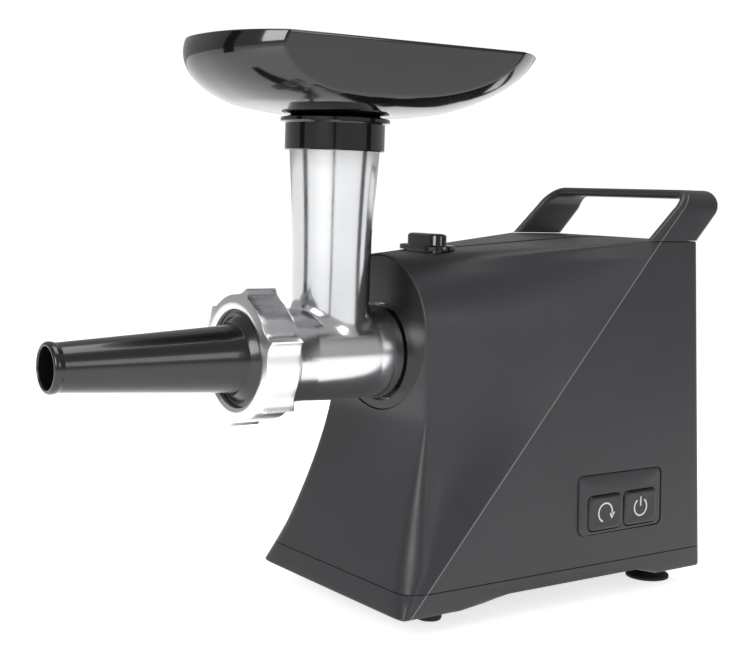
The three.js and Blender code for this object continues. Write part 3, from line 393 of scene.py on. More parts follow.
def turned(name, profile, axis=1, centre=(0, 0, 0), steps=96, ring=True):
    """A profile of (radius, place along the axis) carried round that axis."""
    radius, along = np.asarray(profile, float).T
    turn = np.linspace(0, 2 * math.pi, steps, endpoint=False)
    across, up = radius[:, None] * np.cos(turn), radius[:, None] * np.sin(turn)
    level = np.broadcast_to(along[:, None], across.shape)
    grid = stack(across, level, up) if axis == 1 else stack(across, up, level)
    return skin(name, grid + np.asarray(centre, float), ring=ring)


def softened(corners, radius, bend=5):
    """A closed profile with every corner rounded by up to that radius."""
    points = np.asarray(corners, float)
    radii = np.broadcast_to(radius, len(points))
    result = []
    for before, corner, after, reach in zip(np.roll(points, 1, 0), points, np.roll(points, -1, 0), radii):
        ends = []
        for other in (before, after):
            length = np.linalg.norm(other - corner)
            ends.append(corner + (other - corner) * min(reach, length * 0.45) / length)
        t = np.linspace(0, 1, bend)[:, None]
        result.append(ends[0] * (1 - t) ** 2 + 2 * corner * t * (1 - t) + ends[1] * t**2)
    return np.concatenate(result)


def rounded_outline(half_long, half_high, radius, bend=10):
    """A rectangle with round corners about the origin, as (long, high) points."""
    turn = np.linspace(0, math.pi / 2, bend)
    corners = [stack(sx * (half_long - radius) + radius * np.cos(turn + k * math.pi / 2),
                     sz * (half_high - radius) + radius * np.sin(turn + k * math.pi / 2))
               for k, (sx, sz) in enumerate(((1, 1), (-1, 1), (-1, -1), (1, -1)))]
    return np.concatenate(corners)


def block(name, outline, levels, to_point):
    """A plate whose outline is an array of 2-D points: `levels` gives (scale towards the
    middle as an inset share, height) for each row; to_point places (a, b, height)."""
    rows = [to_point(outline[:, 0] - np.sign(outline[:, 0]) * inset,
                     outline[:, 1] - np.sign(outline[:, 1]) * inset, height) for inset, height in levels]
    return skin(name, np.stack(rows))


def fit(made, finish, body, slot, *nodes):
    """Gives a piece its finish, fixes it to its body and lets it stand for its CAD nodes."""
    made.data.materials.clear()
    made.data.materials.append(finish.material)
    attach(made, body)
    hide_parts(*nodes)


def moulded(name, dark, light, roughness, grain=1800.0, depth=0.00003):
    """Spark-eroded moulded plastic: a fine grain, faint clouds of colour and of gloss."""
    finish = Finish(name, specular_ior_level=0.45)
    finish.feed("Base Color", finish.blend(finish.noise(22.0), dark, light))
    finish.feed("Roughness", finish.noise(60.0) * 0.12 + (roughness - 0.06))
    finish.relief(finish.noise(grain, detail=2.0) + finish.noise(grain * 0.3) * 0.4, depth)
    return finish


def painted_crease_highlight(finish, dark, light, bright, half_width=0.0007, least_x=0.058, strength=0.5):
    """Paints a highlight on the plastic along the crease of both side panels: lighter within half a
    width of the crease's line, and only further out than the least distance from the middle."""
    axes = finish.node("ShaderNodeSeparateXYZ", {}, {"Vector": finish.place})
    x, y, z = (Signal(finish, axes.socket.node.outputs[i]) for i in range(3))
    line_y = (z - foot_z / 1000) * crease_slope + (crease_foot_y + front_plane) / 1000
    off = finish.node("ShaderNodeMath", {"operation": "ABSOLUTE"}, {0: y - line_y})
    sideways = finish.node("ShaderNodeMath", {"operation": "ABSOLUTE"}, {0: x})
    near = finish.node("ShaderNodeMapRange", {"interpolation_type": "SMOOTHSTEP"}, {
        "Value": off, "From Min": half_width, "From Max": half_width * 0.3})
    # How much painted highlight colour replaces the plastic's own colour near the crease line.
    painted_highlight_mask = near * (sideways > least_x) * strength
    clouds = finish.blend(finish.noise(22.0), dark, light)
    finish.feed("Base Color", finish.node("ShaderNodeMix", {"data_type": "RGBA"}, {
        0: painted_highlight_mask, 6: clouds, 7: (*bright, 1)}, output=2))


plastic_dark, plastic_light = (0.020, 0.021, 0.023), (0.026, 0.027, 0.030)
charcoal = moulded("charcoal_plastic", plastic_dark, plastic_light, 0.40)
# A painted highlight along both creases: a light grey in place of the light that the rounded crease catches.
painted_crease_highlight(charcoal, plastic_dark, plastic_light, (0.24, 0.24, 0.25))
seat_deep = 9.0
panel_front_y, panel_rear_y, panel_low_z, panel_high_z, panel_corner = 94.0, 161.5, 42.0, 76.0, 4.0
panel_middle_y, panel_middle_z = (panel_front_y + panel_rear_y) / 2, (panel_low_z + panel_high_z) / 2
panel_half_long, panel_half_high = (panel_rear_y - panel_front_y) / 2, (panel_high_z - panel_low_z) / 2
button_side = side_x(panel_middle_z)
lock_y, lock_half_flat, lock_radius, bezel_margin = 32.5, 9.0, 5.6, 4.6
gland_x, gland_z, gland_radius = -30.0, 40.0, 7.0
vent_first_z, vent_pitch, vent_height, vent_half, vent_count = 80.0, 11.0, 4.0, 34.0, 5
through_rear = (180, 220)
through_top = (180, 230)
through_side = (60, 80)


def pill(half_flat, radius, bend=16):
    """Two half circles joined by straight sides, as (x, y) points about the lock button."""
    turn = np.linspace(-math.pi / 2, math.pi / 2, bend)
    right = stack(half_flat + radius * np.cos(turn), radius * np.sin(turn))
    return np.concatenate([right, -right])


def upright(x, y, z):
    """Flat on top, about the lock button."""
    return stack(x, y + lock_y, z)


def on_side(y, z, x):
    """Long across the button side, high upwards, height outwards."""
    return stack(x, y + panel_middle_y, z + panel_middle_z)


def on_rear(middle_z):
    """Gives the placing for a shape on the rear wall, its middle at that height."""
    def placed(x, z, y):
        return stack(x, y, z + middle_z)
    return placed


housing = housing_form("housing_shell", seam_z)
tools = [housing_form("hollow", seam_z - wall, wall, 16, 24)]
seat_radius = plate_radius + gap
tools.append(turned("plate_seat", [(0, -5), (seat_radius, -5), (seat_radius, seat_deep), (0, seat_deep)],
                    centre=(0, 0, arch_z), steps=160, ring=False))
tools.append(block("lock_opening", pill(lock_half_flat, lock_radius + bezel_margin + gap),
                   [(0, z) for z in through_top], upright))
panel_hole = rounded_outline(panel_half_long + gap, panel_half_high + gap, panel_corner + gap)
tools.append(block("panel_opening", panel_hole, [(0, x) for x in through_side], on_side))
gland_hole = [(0, through_rear[0]), (gland_radius + gap, through_rear[0]),
              (gland_radius + gap, through_rear[1]), (0, through_rear[1])]
tools.append(turned("gland_hole", gland_hole, centre=(gland_x, 0, gland_z), steps=48, ring=False))
for i in range(vent_count):
    middle = vent_first_z + i * vent_pitch + vent_height / 2
    tools.append(block("vent", rounded_outline(vent_half, vent_height / 2, 1.9),
                       [(0, y) for y in through_rear], on_rear(middle)))
carve(housing, *tools)
fit(housing, charcoal, "motor_unit", "charcoal_plastic", "main_housing")

# ------------------------------------------------------------------ carry handle
# A strap of the same plastic that continues both side panels over the rear of the top. The
# gap under it takes four fingers.

handle_top, handle_rear_y, strap, strap_bend = 240.0, 209.0, 5.5, 12.0
handle_foot_z = rear_top_z + gap
handle_half = side_x(rear_top_z)


def strap_line(bend=14):
    """Middle line of the strap in (x, z), with the direction that points out of the arch: up
    one side, round a quarter circle, across the top, then mirrored."""
    reach = strap_bend - strap / 2
    turn = np.linspace(0, math.pi / 2, bend)
    middle = handle_half - strap_bend
    side = stack(np.full(12, handle_half - strap / 2),
                 np.linspace(handle_foot_z, handle_top - strap_bend, 12, endpoint=False))
    corner = stack(middle + reach * np.cos(turn), handle_top - strap_bend + reach * np.sin(turn))
    out = np.concatenate([np.tile((1.0, 0.0), (12, 1)), stack(np.cos(turn), np.sin(turn))])
    line = np.concatenate([side, corner])
    bar = stack(np.linspace(middle, 0, 10)[1:], handle_top - strap / 2)
    line = np.concatenate([line, bar])
    out = np.concatenate([out, np.tile((0.0, 1.0), (9, 1))])
    mirror = np.array([-1, 1])
    return np.concatenate([line, line[-2::-1] * mirror]), np.concatenate([out, out[-2::-1] * mirror])


line, out = strap_line()
bar_z = 237.3
front_of = np.interp(line[:, 1], [handle_foot_z, 232.5, 236.0, bar_z], [150.6, 175.6, 180.2, 182.6])
rear_of = np.interp(line[:, 1], [handle_foot_z, 227.0, 232.0, bar_z], [190.2, 206.6, 208.4, handle_rear_y])
flatten = 20
section = rounded_outline(0.5, strap / 2 / flatten, 0.11, bend=7)
section_y, section_out = section[:, 0], section[:, 1] * flatten
long_ways = (front_of + rear_of)[:, None] / 2 + section_y[None] * (rear_of - front_of)[:, None]
carry = skin("handle_strap", stack(line[:, :1] + out[:, :1] * section_out, long_ways,
                                   line[:, 1:] + out[:, 1:] * section_out))
fit(carry, charcoal, "motor_unit", "charcoal_plastic", "carry_handle")

# ------------------------------------------------------------------ base cover
# The shallow tray that closes the housing below, in the same plastic. It is stepped up
# between the feet, and four screws go up through it.

step_rise, step_front_y, step_rear_y = 4.5, 25.0, 151.0


def base_rows(z, inset):
    """One ring of the base: the housing's own outline, lifted between the feet near its foot."""
    ring = straight_rows(np.array([z]), inset)[0]
    lift = np.clip(np.minimum(ring[:, 1] - step_front_y, step_rear_y - ring[:, 1]) / 3, 0, 1)
    ring[:, 2] += lift * step_rise * max(0, 1 - (z - foot_z) / 6)
    return ring


base_levels = [(seam_z - gap, 0.9), (seam_z - gap, 0.3), (seam_z - gap - 0.3, 0), (18, 0), (14, 0),
               (12.9, 0.1), (12.3, 0.5), (12, 1.2)]
base_grid = np.stack([base_rows(z, inset) for z, inset in base_levels])
to_middle = (0, 1, 1)
base = skin("base_tray", np.concatenate([base_grid[:1] * to_middle, base_grid, base_grid[-1:] * to_middle]))
fit(base, charcoal, "motor_unit", "charcoal_plastic", "base_cover")

# ------------------------------------------------------------------ front plate
# A flat dark disc let into the arched front, pressed in behind a thin lip, with the round
# mouth through which the grinding head plugs into its socket.

head_z, plate_bore, plate_recess, plate_thick = 144.2, 27.6, 0.6, 4.5
plate_dark = moulded("front_plate_plastic", (0.006, 0.006, 0.007), (0.009, 0.009, 0.010), 0.34)
disc = turned("front_disc", softened([(0.01, plate_recess), (plate_radius, plate_recess),
                                      (plate_radius, plate_recess + plate_thick),
                                      (0.01, plate_recess + plate_thick)], (0, 0.5, 0.3, 0)),
              centre=(0, 0, arch_z), steps=160)
carve(disc, turned("mouth", [(0, -5), (plate_bore, -5), (plate_bore, 15), (0, 15)],
                   centre=(0, 0, head_z), steps=128, ring=False))
fit(disc, plate_dark, "motor_unit", "dark_plastic", "front_plate")

# ------------------------------------------------------------------ grinding head
# One aluminium casting, polished: a barrel that lies along the appliance and a feed tube
# that stands on it. Its rear end turns in the socket like a bayonet.

tube_y, tube_radius, tube_top_radius, tube_top_z = -32.4, 21.3, 24.3, 267.8
barrel_radius, mouth_radius, mouth_front_y, mouth_rear_y = 25.9, 30.4, -88.6, -68.0
mouth_bore, bore_radius, bush_radius, bore_front_y, bore_end_y, head_rear_y = 27.4, 22.4, 12.5, -80, 1, 22


def cast(name, dark, light, roughness, brush=0.00002, stretch=(1, 1, 1)):
    """Polished casting: bright metal whose gloss and relief wander softly."""
    finish = Finish(name, metallic=1.0)
    finish.feed("Base Color", finish.blend(finish.noise(14.0, stretch=stretch), dark, light))
    finish.feed("Roughness", finish.noise(40.0, stretch=stretch) * 0.12 + (roughness - 0.06))
    finish.relief(finish.noise(260.0, detail=4.0, stretch=stretch), brush)
    return finish


polished = cast("polished_aluminium", (0.62, 0.63, 0.65), (0.78, 0.79, 0.80), 0.17)
waist_radius = barrel_radius - 0.7
barrel = turned("head_barrel", softened([
    (mouth_bore, mouth_front_y), (mouth_radius, mouth_front_y), (mouth_radius, mouth_rear_y - 1.2),
    (mouth_radius - 1.2, mouth_rear_y), (barrel_radius + 0.4, mouth_rear_y + 1),
    (waist_radius, mouth_rear_y + 14), (waist_radius, -14), (barrel_radius, -5),
    (barrel_radius, head_rear_y), (bush_radius, head_rear_y), (bush_radius, bore_end_y),
    (bore_radius, bore_end_y), (bore_radius, bore_front_y), (mouth_bore, bore_front_y)], 1.0),
    centre=(0, 0, head_z), steps=160)


def feed_tube(fillet=3.6, steps=160):
    """The feed tube flares upwards; below, a fillet carries it out onto the barrel: for each
    direction a curve from the tube, towards where it meets the barrel, and along the barrel."""
    turn = np.linspace(0, 2 * math.pi, steps, endpoint=False)

    def on_barrel(radius):
        return head_z + np.sqrt(np.maximum(waist_radius**2 - (radius * np.cos(turn)) ** 2, 0))

    meet, spread = on_barrel(tube_radius), on_barrel(tube_radius + fillet) - 0.05
    rows = [(0 * turn + 0.01, 0 * turn + head_z), (0 * turn + tube_radius - 3, 0 * turn + head_z),
            (0 * turn + tube_radius + fillet - 0.7, spread - 1.5)]
    for t in np.linspace(1, 0, 10):
        rows.append((tube_radius + fillet * t * t, (meet + fillet * 1.6) * (1 - t) ** 2
                     + 2 * meet * t * (1 - t) + spread * t * t))
    for z, more in ((190, 0), (200, 0.2), (209, 0.5), (221, 1.0), (232, 1.6), (243, 2.3), (253, 3.0),
                    (tube_top_z - 0.6, 3.0), (tube_top_z, 2.4)):
        rows.append((tube_radius + more, 0 * turn + z))
    rows.append((0.01, 0 * turn + tube_top_z))
    radius = np.stack([0 * turn + r for r, _ in rows])
    level = np.stack([z for _, z in rows])
    return skin("feed_outer", stack(radius * np.cos(turn), radius * np.sin(turn) + tube_y, level))


feed_outer = feed_tube()
carve(barrel, feed_outer, operation="UNION")
throat, throat_top, over_tube = tube_radius - wall, tube_top_radius - wall, 275
barrel_bore = [(0, -85), (bore_radius, -85), (bore_radius, bore_end_y), (0, bore_end_y)]
feed_bore = [(0, head_z), (throat, head_z), (throat, 200), (throat_top, 253), (throat_top, over_tube),
             (0, over_tube)]
carve(barrel, turned("barrel_bore", barrel_bore, centre=(0, 0, head_z), steps=128, ring=False),
      turned("feed_bore", feed_bore, axis=2, centre=(0, tube_y, 0), steps=128, ring=False))
fit(barrel, polished, "grinding_head", "cast_aluminium", "head_casting")

# ------------------------------------------------------------------ ring nut
# The cast and polished nut that holds the stuffing tube against the head. Six lobes give
# grip; its front face is turned to a satin finish.

ring_front_y, ring_rear_y, ring_hole, lobe_radius, valley_radius = -92.3, -71.5, 26.0, 38.0, 33.6
ring_lip, lobe_count, lobe_angle, lobe_sharpness = 3.2, 6, 18.5, 7
satin_turned = cast("satin_aluminium", (0.66, 0.67, 0.69), (0.80, 0.81, 0.82), 0.26)


def nut_radius(turn):
    """Radius over the lobes: a rim scooped between its points, by the seventh power of how near
    each direction is to one of them."""
    share = np.mod((np.degrees(turn) - lobe_angle) / (360 / lobe_count), 1)
    scoop = (np.abs(2 * share - 1) + 0.004) ** lobe_sharpness
    return np.minimum(valley_radius + (lobe_radius - valley_radius) * scoop, lobe_radius)


def nut_rows(steps=480):
    """Rows from the hole over the domed face, round the rim and back inside the thread."""
    turn = np.linspace(0, 2 * math.pi, steps, endpoint=False)
    outer = nut_radius(turn)

    def face(radius):
        return ring_front_y + 2.8 * np.clip((radius - 29.4) / 9.6, 0, 1) ** 1.15

    rows = [(np.full(steps, ring_hole), np.full(steps, ring_front_y + ring_lip)),
            (np.full(steps, ring_hole), np.full(steps, ring_front_y + 1.5)),
            (np.full(steps, ring_hole + 0.15), np.full(steps, ring_front_y + 1.1)),
            (np.full(steps, ring_hole + 1.75), np.full(steps, ring_front_y + 0.15)),
            (np.full(steps, ring_hole + 2.15), np.full(steps, ring_front_y))]
    for share in np.linspace(0, 1, 14)[1:]:
        r = mix(ring_hole + 2.15, outer - 1.1, share)
        rows.append((r, face(r)))
    for bow in np.radians([22, 45, 68, 90]):
        rows.append((outer - 1.1 + 1.1 * np.sin(bow), face(outer - 1.1) + 1.1 * (1 - np.cos(bow))))
    for y in np.linspace(ring_front_y + 5, ring_rear_y - 1, 6):
        rows.append((outer, np.full(steps, y)))
    for bow in np.radians([30, 60, 90]):
        rows.append((outer - (1 - np.cos(bow)), np.full(steps, ring_rear_y - 1 + np.sin(bow))))
    thread = mouth_radius + gap
    rows += [(np.full(steps, thread + 0.4), np.full(steps, ring_rear_y)),
             (np.full(steps, thread), np.full(steps, ring_rear_y - 0.4)),
             (np.full(steps, thread), np.full(steps, ring_front_y + ring_lip))]
    radius, along = np.stack([r for r, _ in rows]), np.stack([y for _, y in rows])
    return stack(radius * np.cos(turn), along, radius * np.sin(turn) + head_z)


nut = skin("ring_nut_body", nut_rows(), ring=True)
fit(nut, satin_turned, "nut", "cast_aluminium", "ring_nut")

# ------------------------------------------------------------------ stuffing tube
# A black plastic tube that narrows to a rolled lip. Its flange sits inside the ring nut in
# place of knife and plate, in front of a spider that carries the auger.

tip_y, tip_radius, tip_bore, root_radius, tube_flange = -195.3, 12.4, 10.4, 17.4, 2.6
flange_front_y = ring_front_y + ring_lip + gap
flange_rear_y = flange_front_y + tube_flange


def glossy(name, colour, roughness, coat, smear=30.0):
    """Smooth black plastic under a clear gloss, with faint smears that dull it."""
    finish = Finish(name, coat_roughness=0.05)
    finish.feed("Base Color", finish.blend(finish.noise(12.0), colour, tuple(c * 1.5 for c in colour)))
    finish.feed("Roughness", finish.noise(smear, detail=5.0) * 0.14 + (roughness - 0.07))
    finish.feed("Coat Weight", finish.noise(smear * 0.6) * 0.2 + (coat - 0.1))
    finish.relief(finish.noise(50.0, detail=1.0), 0.00004)
    return finish


satin_black = glossy("satin_black_plastic", (0.004, 0.004, 0.0045), 0.24, 0.3)
funnel = turned("stuffing_funnel", softened([
    (tip_bore, tip_y), (tip_radius - 0.4, tip_y), (tip_radius + 0.5, tip_y + 1.1),
    (tip_radius + 0.5, tip_y + 3.4), (tip_radius - 0.2, tip_y + 5), (root_radius, ring_front_y - 8),
    (root_radius + 1.2, ring_front_y - 1), (mouth_bore - 4, flange_front_y),
    (mouth_bore - gap, flange_front_y), (mouth_bore - gap, flange_rear_y),
    (root_radius + 1.1, flange_rear_y), (root_radius - 1.9, ring_front_y - 2), (tip_bore, tip_y + 6)], 1.3),
    centre=(0, 0, head_z), steps=144)
fit(funnel, satin_black, "stuffer", "satin_black", "stuffing_tube")

# ------------------------------------------------------------------ meat tray
# A deep gloss black hopper tray, moulded in one piece with the collar that drops over the
# feed tube. It is a squarish oval bowl with a flat wall on each side; the ends stay round.

rim_z, tray_wall, tray_side_x, side_splay, side_lean = 310.0, 2.2, 54.8, 0.077, 0.135
collar_radius, collar_low_z, throat_radius = 26.9, 254.2, 20.8
flange_z, flange_radius, flange_high = 269.2, 29.5, 2.6
bowl_y, bowl_half_x, bowl_half_y, plan_power = -13.9, 72.4, 99.3, 2.36
bowl_top_z, bowl_deep, depth_power, tray_low_z = 311.9, 42.8, 2.06, 277.5
flange_top = flange_z + flange_high
gloss_black = glossy("gloss_black_plastic", (0.003, 0.003, 0.0034), 0.12, 0.5)
tray_spans = (90, 150, 90, 150)


def tray_turns(front, rear):
    """Angles all round, crowded at the four corners: side wall, rear, side wall, front."""
    ends = (-front, rear, math.pi - rear, math.pi + front, 2 * math.pi - front)
    return np.concatenate([
        mix(ends[k], ends[k + 1], (1 - np.cos(np.linspace(0, math.pi, count, endpoint=False))) / 2)
        for k, count in enumerate(tray_spans)])


def tray_oval(turn, z, inset):
    """The bowl's plan at a height: (|x/a|^p + |y/b|^p) = (1 - depth^q)^(p/q), its middle moving
    from the rim's to the tube's."""
    middle = mix(bowl_y, tube_y, (rim_z - z) / (rim_z - flange_top))
    depth = min((bowl_top_z - z) / (bowl_deep - inset), 1)
    share = (1 - depth**depth_power) ** (1 / depth_power)
    squarish = np.abs(np.cos(turn)) ** plan_power + np.abs(np.sin(turn)) ** plan_power
    reach = share * squarish ** (-1 / plan_power)
    return ((bowl_half_x - inset) * reach * np.cos(turn),
            middle + (bowl_half_y - inset) * reach * np.sin(turn))


def tray_side(y, z, inset):
    """How far out the flat side wall stands: it splays backwards and leans in downwards."""
    return tray_side_x + side_splay * (y - tube_y) - side_lean * (rim_z - z) - inset


def tray_corner(end, z, inset):
    """The angle where the oval crosses the side wall, found by halving."""
    low, high = 0.1, math.pi / 2
    for _ in range(30):
        turn = (low + high) / 2
        x, y = tray_oval(end * turn, z, inset)
        low, high = (turn, high) if x > tray_side(y, z, inset) else (low, turn)
    return low


def tray_level(z, inset, height=None, sharp=160.0):
    """One ring of the tray: the oval held in by the side walls, the corner slightly rounded."""
    turn = tray_turns(tray_corner(-1, z, inset), tray_corner(1, z, inset))
    x, y = tray_oval(turn, z, inset)
    held = (np.maximum(np.abs(x), 1.0) ** -sharp + tray_side(y, z, inset) ** -sharp) ** (-1 / sharp)
    x = np.where(np.abs(x) < 10, x, np.sign(x) * held)
    return stack(x, y, z if height is None else height)


def tray_circle(radius, z):
    """A level circle about the feed tube, its points matched to those of the tray's rings."""
    turn = tray_turns(math.pi / 5, math.pi / 5)
    return stack(radius * np.cos(turn), tube_y + radius * np.sin(turn), z)


def sagging(start, end, shares):
    """Rows between two rings that leave the first one level and rise towards the second."""
    return [np.concatenate([mix(start[:, :2], end[:, :2], s), mix(start[:, 2:], end[:, 2:], s * s)], 1)
            for s in shares]


neck = tray_circle(collar_radius - 3, flange_top + 1.5)
floor_ring = tray_circle(throat_radius, flange_top + 3.4)
rim_round = 0.9
low_outer, low_inner = tray_level(tray_low_z, 0), tray_level(tray_low_z, tray_wall)
heights = np.linspace(tray_low_z, rim_z - rim_round, 30)
half_wall = tray_wall / 2
rim = [tray_level(rim_z - rim_round, half_wall - half_wall * math.cos(t),
                  rim_z - rim_round + rim_round * math.sin(t))
       for t in np.linspace(0, math.pi, 9)]
socket_radius = tube_top_radius + gap
hopper = skin("hopper_tray", np.stack([
    tray_circle(socket_radius, collar_low_z + 0.6), tray_circle(socket_radius + 0.5, collar_low_z),
    tray_circle(collar_radius - 0.5, collar_low_z), tray_circle(collar_radius, collar_low_z + 0.5),
    tray_circle(collar_radius, flange_z - 0.6), tray_circle(collar_radius + 0.5, flange_z),
    tray_circle(flange_radius - 0.4, flange_z), tray_circle(flange_radius, flange_z + 0.4),
    tray_circle(flange_radius, flange_top - 0.5), tray_circle(flange_radius - 0.5, flange_top),
    tray_circle(collar_radius + 0.6, flange_top), neck,
    *sagging(neck, low_outer, np.linspace(0, 1, 12)[1:]), *[tray_level(z, 0) for z in heights[1:-1]],
    *rim, *[tray_level(z, tray_wall) for z in heights[-2:0:-1]],
    *sagging(floor_ring, low_inner, np.linspace(1, 0, 12)[:-1]), floor_ring,
    tray_circle(throat_radius, tube_top_z + gap), tray_circle(socket_radius, tube_top_z + gap)]), ring=True)
fit(hopper, gloss_black, "tray", "gloss_black", "meat_tray")

# ------------------------------------------------------------------ lock button
# A gloss black push button in a low oval bezel on top, behind the head. Pressed down, it
# frees the head; a small spring inside lifts it again.

bezel_top, bezel_high, lock_top, lock_bottom, pin_radius = 204.3, 3.0, 210.6, 190.0, 3.0
running = 0.5
bezel_rows = [(0, bezel_top - bezel_high), (0, bezel_top - 0.9), (0.3, bezel_top - 0.25), (1.0, bezel_top)]
bezel = block("lock_bezel_ring", pill(lock_half_flat, lock_radius + bezel_margin), bezel_rows, upright)
carve(bezel, block("button_way", pill(lock_half_flat, lock_radius + running), [(0, 190), (0, 215)], upright))
fit(bezel, gloss_black, "motor_unit", "gloss_black", "lock_bezel")
key_rows = [(0, lock_bottom), (0, lock_top - 1.5), (0.2, lock_top - 0.8), (0.8, lock_top - 0.2),
            (1.6, lock_top)]
key = block("lock_button_cap", pill(lock_half_flat, lock_radius), key_rows, upright)
pin_low, pin_high = 184, lock_bottom + 1
pin_profile = [(0, pin_low), (pin_radius, pin_low), (pin_radius, pin_high), (0, pin_high)]
carve(key, turned("pin", pin_profile, axis=2, centre=(0, lock_y, 0), steps=32, ring=False), operation="UNION")
fit(key, gloss_black, "lock_key", "gloss_black", "lock_button")

# ------------------------------------------------------------------ button panel
# A raised frame of housing plastic, wedge-shaped, snapped into the button side. The two
# square keys sit in it; each carries one printed sign.

proud_front, proud_rear, sunk = 1.9, 0.4, 5.0
key_long, key_high, key_pitch, key_first_y, key_low_z = 26.6, 20.0, 29.2, 101.0, 44.0
key_proud, key_stem, stem_radius = 0.5, 4.0, 3
key_middle_z = key_low_z + key_high / 2


def wedge_face(y):
    """How far out the panel's face stands: it falls evenly from front to rear."""
    share = (y - panel_front_y) / (panel_rear_y - panel_front_y)
    return button_side + mix(proud_front, proud_rear, share)


def panel_point(y, z, drop):
    """A point on the wedge's face, or a given drop below it."""
    y, z = y + panel_middle_y, z + panel_middle_z
    return stack(wedge_face(y) - (z - panel_low_z) * draft - drop, y, z)


def on_key(middle_y):
    """Gives the placing for a shape on the button side about the middle of one key."""
    def placed(y, z, x):
        return stack(x, y + middle_y, z + key_middle_z)
    return placed


frame_rim = block("panel_frame", rounded_outline(panel_half_long, panel_half_high, panel_corner),
                  [(0, 6.0), (0, 0.8), (0.25, 0.2), (0.9, 0)], panel_point)
keys_y = [key_first_y + i * key_pitch + key_long / 2 for i in (0, 1)]
key_way = rounded_outline(key_long / 2 + running, key_high / 2 + running, 3.9)
carve(frame_rim, *[block("key_way", key_way, [(0, 55), (0, 80)], on_key(middle)) for middle in keys_y])
fit(frame_rim, charcoal, "motor_unit", "charcoal_plastic", "button_panel")

key_plastic = moulded("key_plastic", (0.010, 0.010, 0.011), (0.014, 0.014, 0.015), 0.33)
sign_print = Finish("sign_print", roughness=0.5)
sign_print.feed("Base Color", sign_print.blend(
    sign_print.noise(400.0), (0.50, 0.50, 0.50), (0.62, 0.62, 0.62)))


def key_cap(name, middle):
    """A key about the middle given: a plate with rounded edges and a slight dish, each row an
    inset and a height, joined to a round stem behind. Also gives how far out its face is."""
    face = wedge_face(middle) + key_proud
    levels = [(0, button_side - sunk), (0, face - 1.0), (0.25, face - 0.4), (0.8, face - 0.08), (1.5, face),
              (3.0, face - 0.08), (6.0, face - 0.25)]
    cap = block(name, rounded_outline(key_long / 2, key_high / 2, 3.4), levels, on_key(middle))
    stem = [button_side - sunk - key_stem, button_side - sunk + 1]
    turn = np.linspace(0, 2 * math.pi, 32, endpoint=False)
    rows = [stack(x, middle + stem_radius * np.cos(turn), key_middle_z + stem_radius * np.sin(turn))
            for x in stem]
    return carve(cap, skin("stem", np.stack(rows)), operation="UNION"), face


sign_deep, sign_high, sign_drop = -0.3, 0.14, 0.22


def arc_sign(name, middle, face, radius, start, end, width=0.9):
    """A printed arc on a key: a flat strip carried along part of a circle."""
    turn = np.radians(np.linspace(start, end, 48))
    half = width / 2
    corners = [(-half, sign_deep), (half, sign_deep), (half, sign_high), (-half, sign_high)]
    rows = np.stack([stack(face - sign_drop + high, middle + (radius + wide) * np.cos(turn),
                           key_middle_z + (radius + wide) * np.sin(turn)) for wide, high in corners], axis=1)
    return skin(name, rows)


def bar_sign(name, corners, face, middle):
    """A printed flat shape on a key, from its corners."""
    y, z = np.asarray(corners, float).T
    return skin(name, np.stack([stack(face - sign_drop + high, middle + y, key_middle_z + z)
                                for high in (sign_deep, sign_high)]))


reverse, reverse_face = key_cap("reverse_key_cap", keys_y[0])
power, power_face = key_cap("power_key_cap", keys_y[1])
fit(reverse, key_plastic, "reverse_key", "dark_plastic", "reverse_button")
fit(power, key_plastic, "power_key", "dark_plastic", "power_button")
arrow_head = [(7.6, -0.2), (3.3, -0.9), (5.2, -4.1)]
upright_bar = [(-0.45, 0.6), (0.45, 0.6), (0.45, 6.2), (-0.45, 6.2)]
signs = [
    (arc_sign("reverse_arc", keys_y[0], reverse_face, 5.4, -20, 250), "reverse_key"),
    (bar_sign("reverse_arrow", arrow_head, reverse_face, keys_y[0]), "reverse_key"),
    (arc_sign("power_arc", keys_y[1], power_face, 5.0, -235, 55), "power_key"),
    (bar_sign("power_bar", upright_bar, power_face, keys_y[1]), "power_key"),
]
for sign, body in signs:
    sign.data.materials.append(sign_print.material)
    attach(sign, body)

# ------------------------------------------------------------------ feet and gland
# Two plain rubber feet in front and two suction feet behind, pressed into the base by their
# pegs, and the rubber gland of the mains lead in the rear wall.

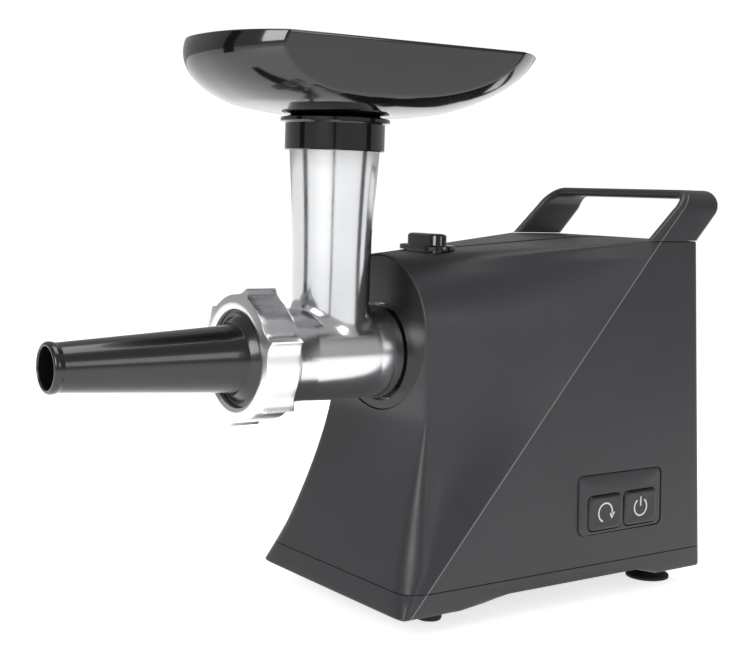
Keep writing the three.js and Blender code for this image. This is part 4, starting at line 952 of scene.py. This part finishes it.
foot_x, foot_front_y, foot_rear_y = 41.0, 11.0, 183.0
foot_radius, brim_radius, brim_high, peg_radius = 7.2, 13.3, 3.2, 3.0
peg_top = seam_z - 1
neck_top = foot_z - gap
rubber = moulded("black_rubber", (0.010, 0.010, 0.011), (0.016, 0.016, 0.017), 0.75,
                 grain=900.0, depth=0.00006)
for side, x in (("right", foot_x), ("left", -foot_x)):
    plain = turned(f"front_foot_pad_{side}", softened([
        (0.01, 0), (foot_radius - 0.6, 0), (foot_radius, 1.2), (foot_radius, neck_top),
        (peg_radius, neck_top), (peg_radius, peg_top), (0.01, peg_top)], 0.4),
        axis=2, centre=(x, foot_front_y, 0), steps=64)
    fit(plain, rubber, "motor_unit", "rubber", f"front_foot_{side}")
    cup = turned(f"suction_foot_{side}", softened([
        (0.01, 2), (6, 1.9), (11.2, 0), (brim_radius, 0), (brim_radius, brim_high - 1.4),
        (brim_radius - 3, brim_high), (foot_radius, brim_high + 1.4), (foot_radius, neck_top),
        (peg_radius, neck_top), (peg_radius, peg_top), (0.01, peg_top)], 0.5),
        axis=2, centre=(x, foot_rear_y, 0), steps=80)
    fit(cup, rubber, "motor_unit", "rubber", f"rear_foot_{side}")

gland_wall = float(rear_y(gland_z))
lead_bore, gland_flange = 4, gland_radius + 3
gland_front, gland_shoulder, gland_rear = gland_wall - 9, gland_wall - 3.95, gland_wall + 3
sleeve = turned("gland_sleeve", softened([
    (lead_bore, gland_front), (gland_flange, gland_front), (gland_flange, gland_shoulder),
    (gland_radius, gland_shoulder), (gland_radius, gland_rear), (lead_bore, gland_rear)], 0.7),
    centre=(gland_x, 0, gland_z), steps=64)
fit(sleeve, rubber, "motor_unit", "rubber", "cord_gland")

# ------------------------------------------------------------------ works inside
# Motor, gears, shafts, switch and board keep their CAD shapes; each gets the finish of its
# own stuff, by the record's material slots.

steel = cast("turned_steel", (0.42, 0.43, 0.45), (0.56, 0.57, 0.58), 0.32)
inside = {
    "cast_aluminium": satin_turned,
    "steel": steel,
    "laminations": cast("varnished_laminations", (0.14, 0.14, 0.15), (0.22, 0.22, 0.23), 0.5,
                        stretch=(1, 40, 1)),
    "copper": cast("enamelled_copper", (0.48, 0.17, 0.05), (0.60, 0.24, 0.09), 0.35,
                   stretch=(1, 1, 20)),
    "brass": cast("bush_brass", (0.50, 0.36, 0.12), (0.62, 0.45, 0.18), 0.35),
    "white_nylon": moulded("white_nylon", (0.70, 0.68, 0.60), (0.80, 0.78, 0.71), 0.5),
    "board_green": glossy("solder_resist", (0.02, 0.09, 0.035), 0.4, 0.3),
    "satin_black": satin_black,
}
for part in frame["record"]["subparts"]:
    kept = frame["nodes"][part["node"]]
    if not kept.hide_render:
        kept.data.materials.clear()
        kept.data.materials.append(inside[part["material_slot"]].material)
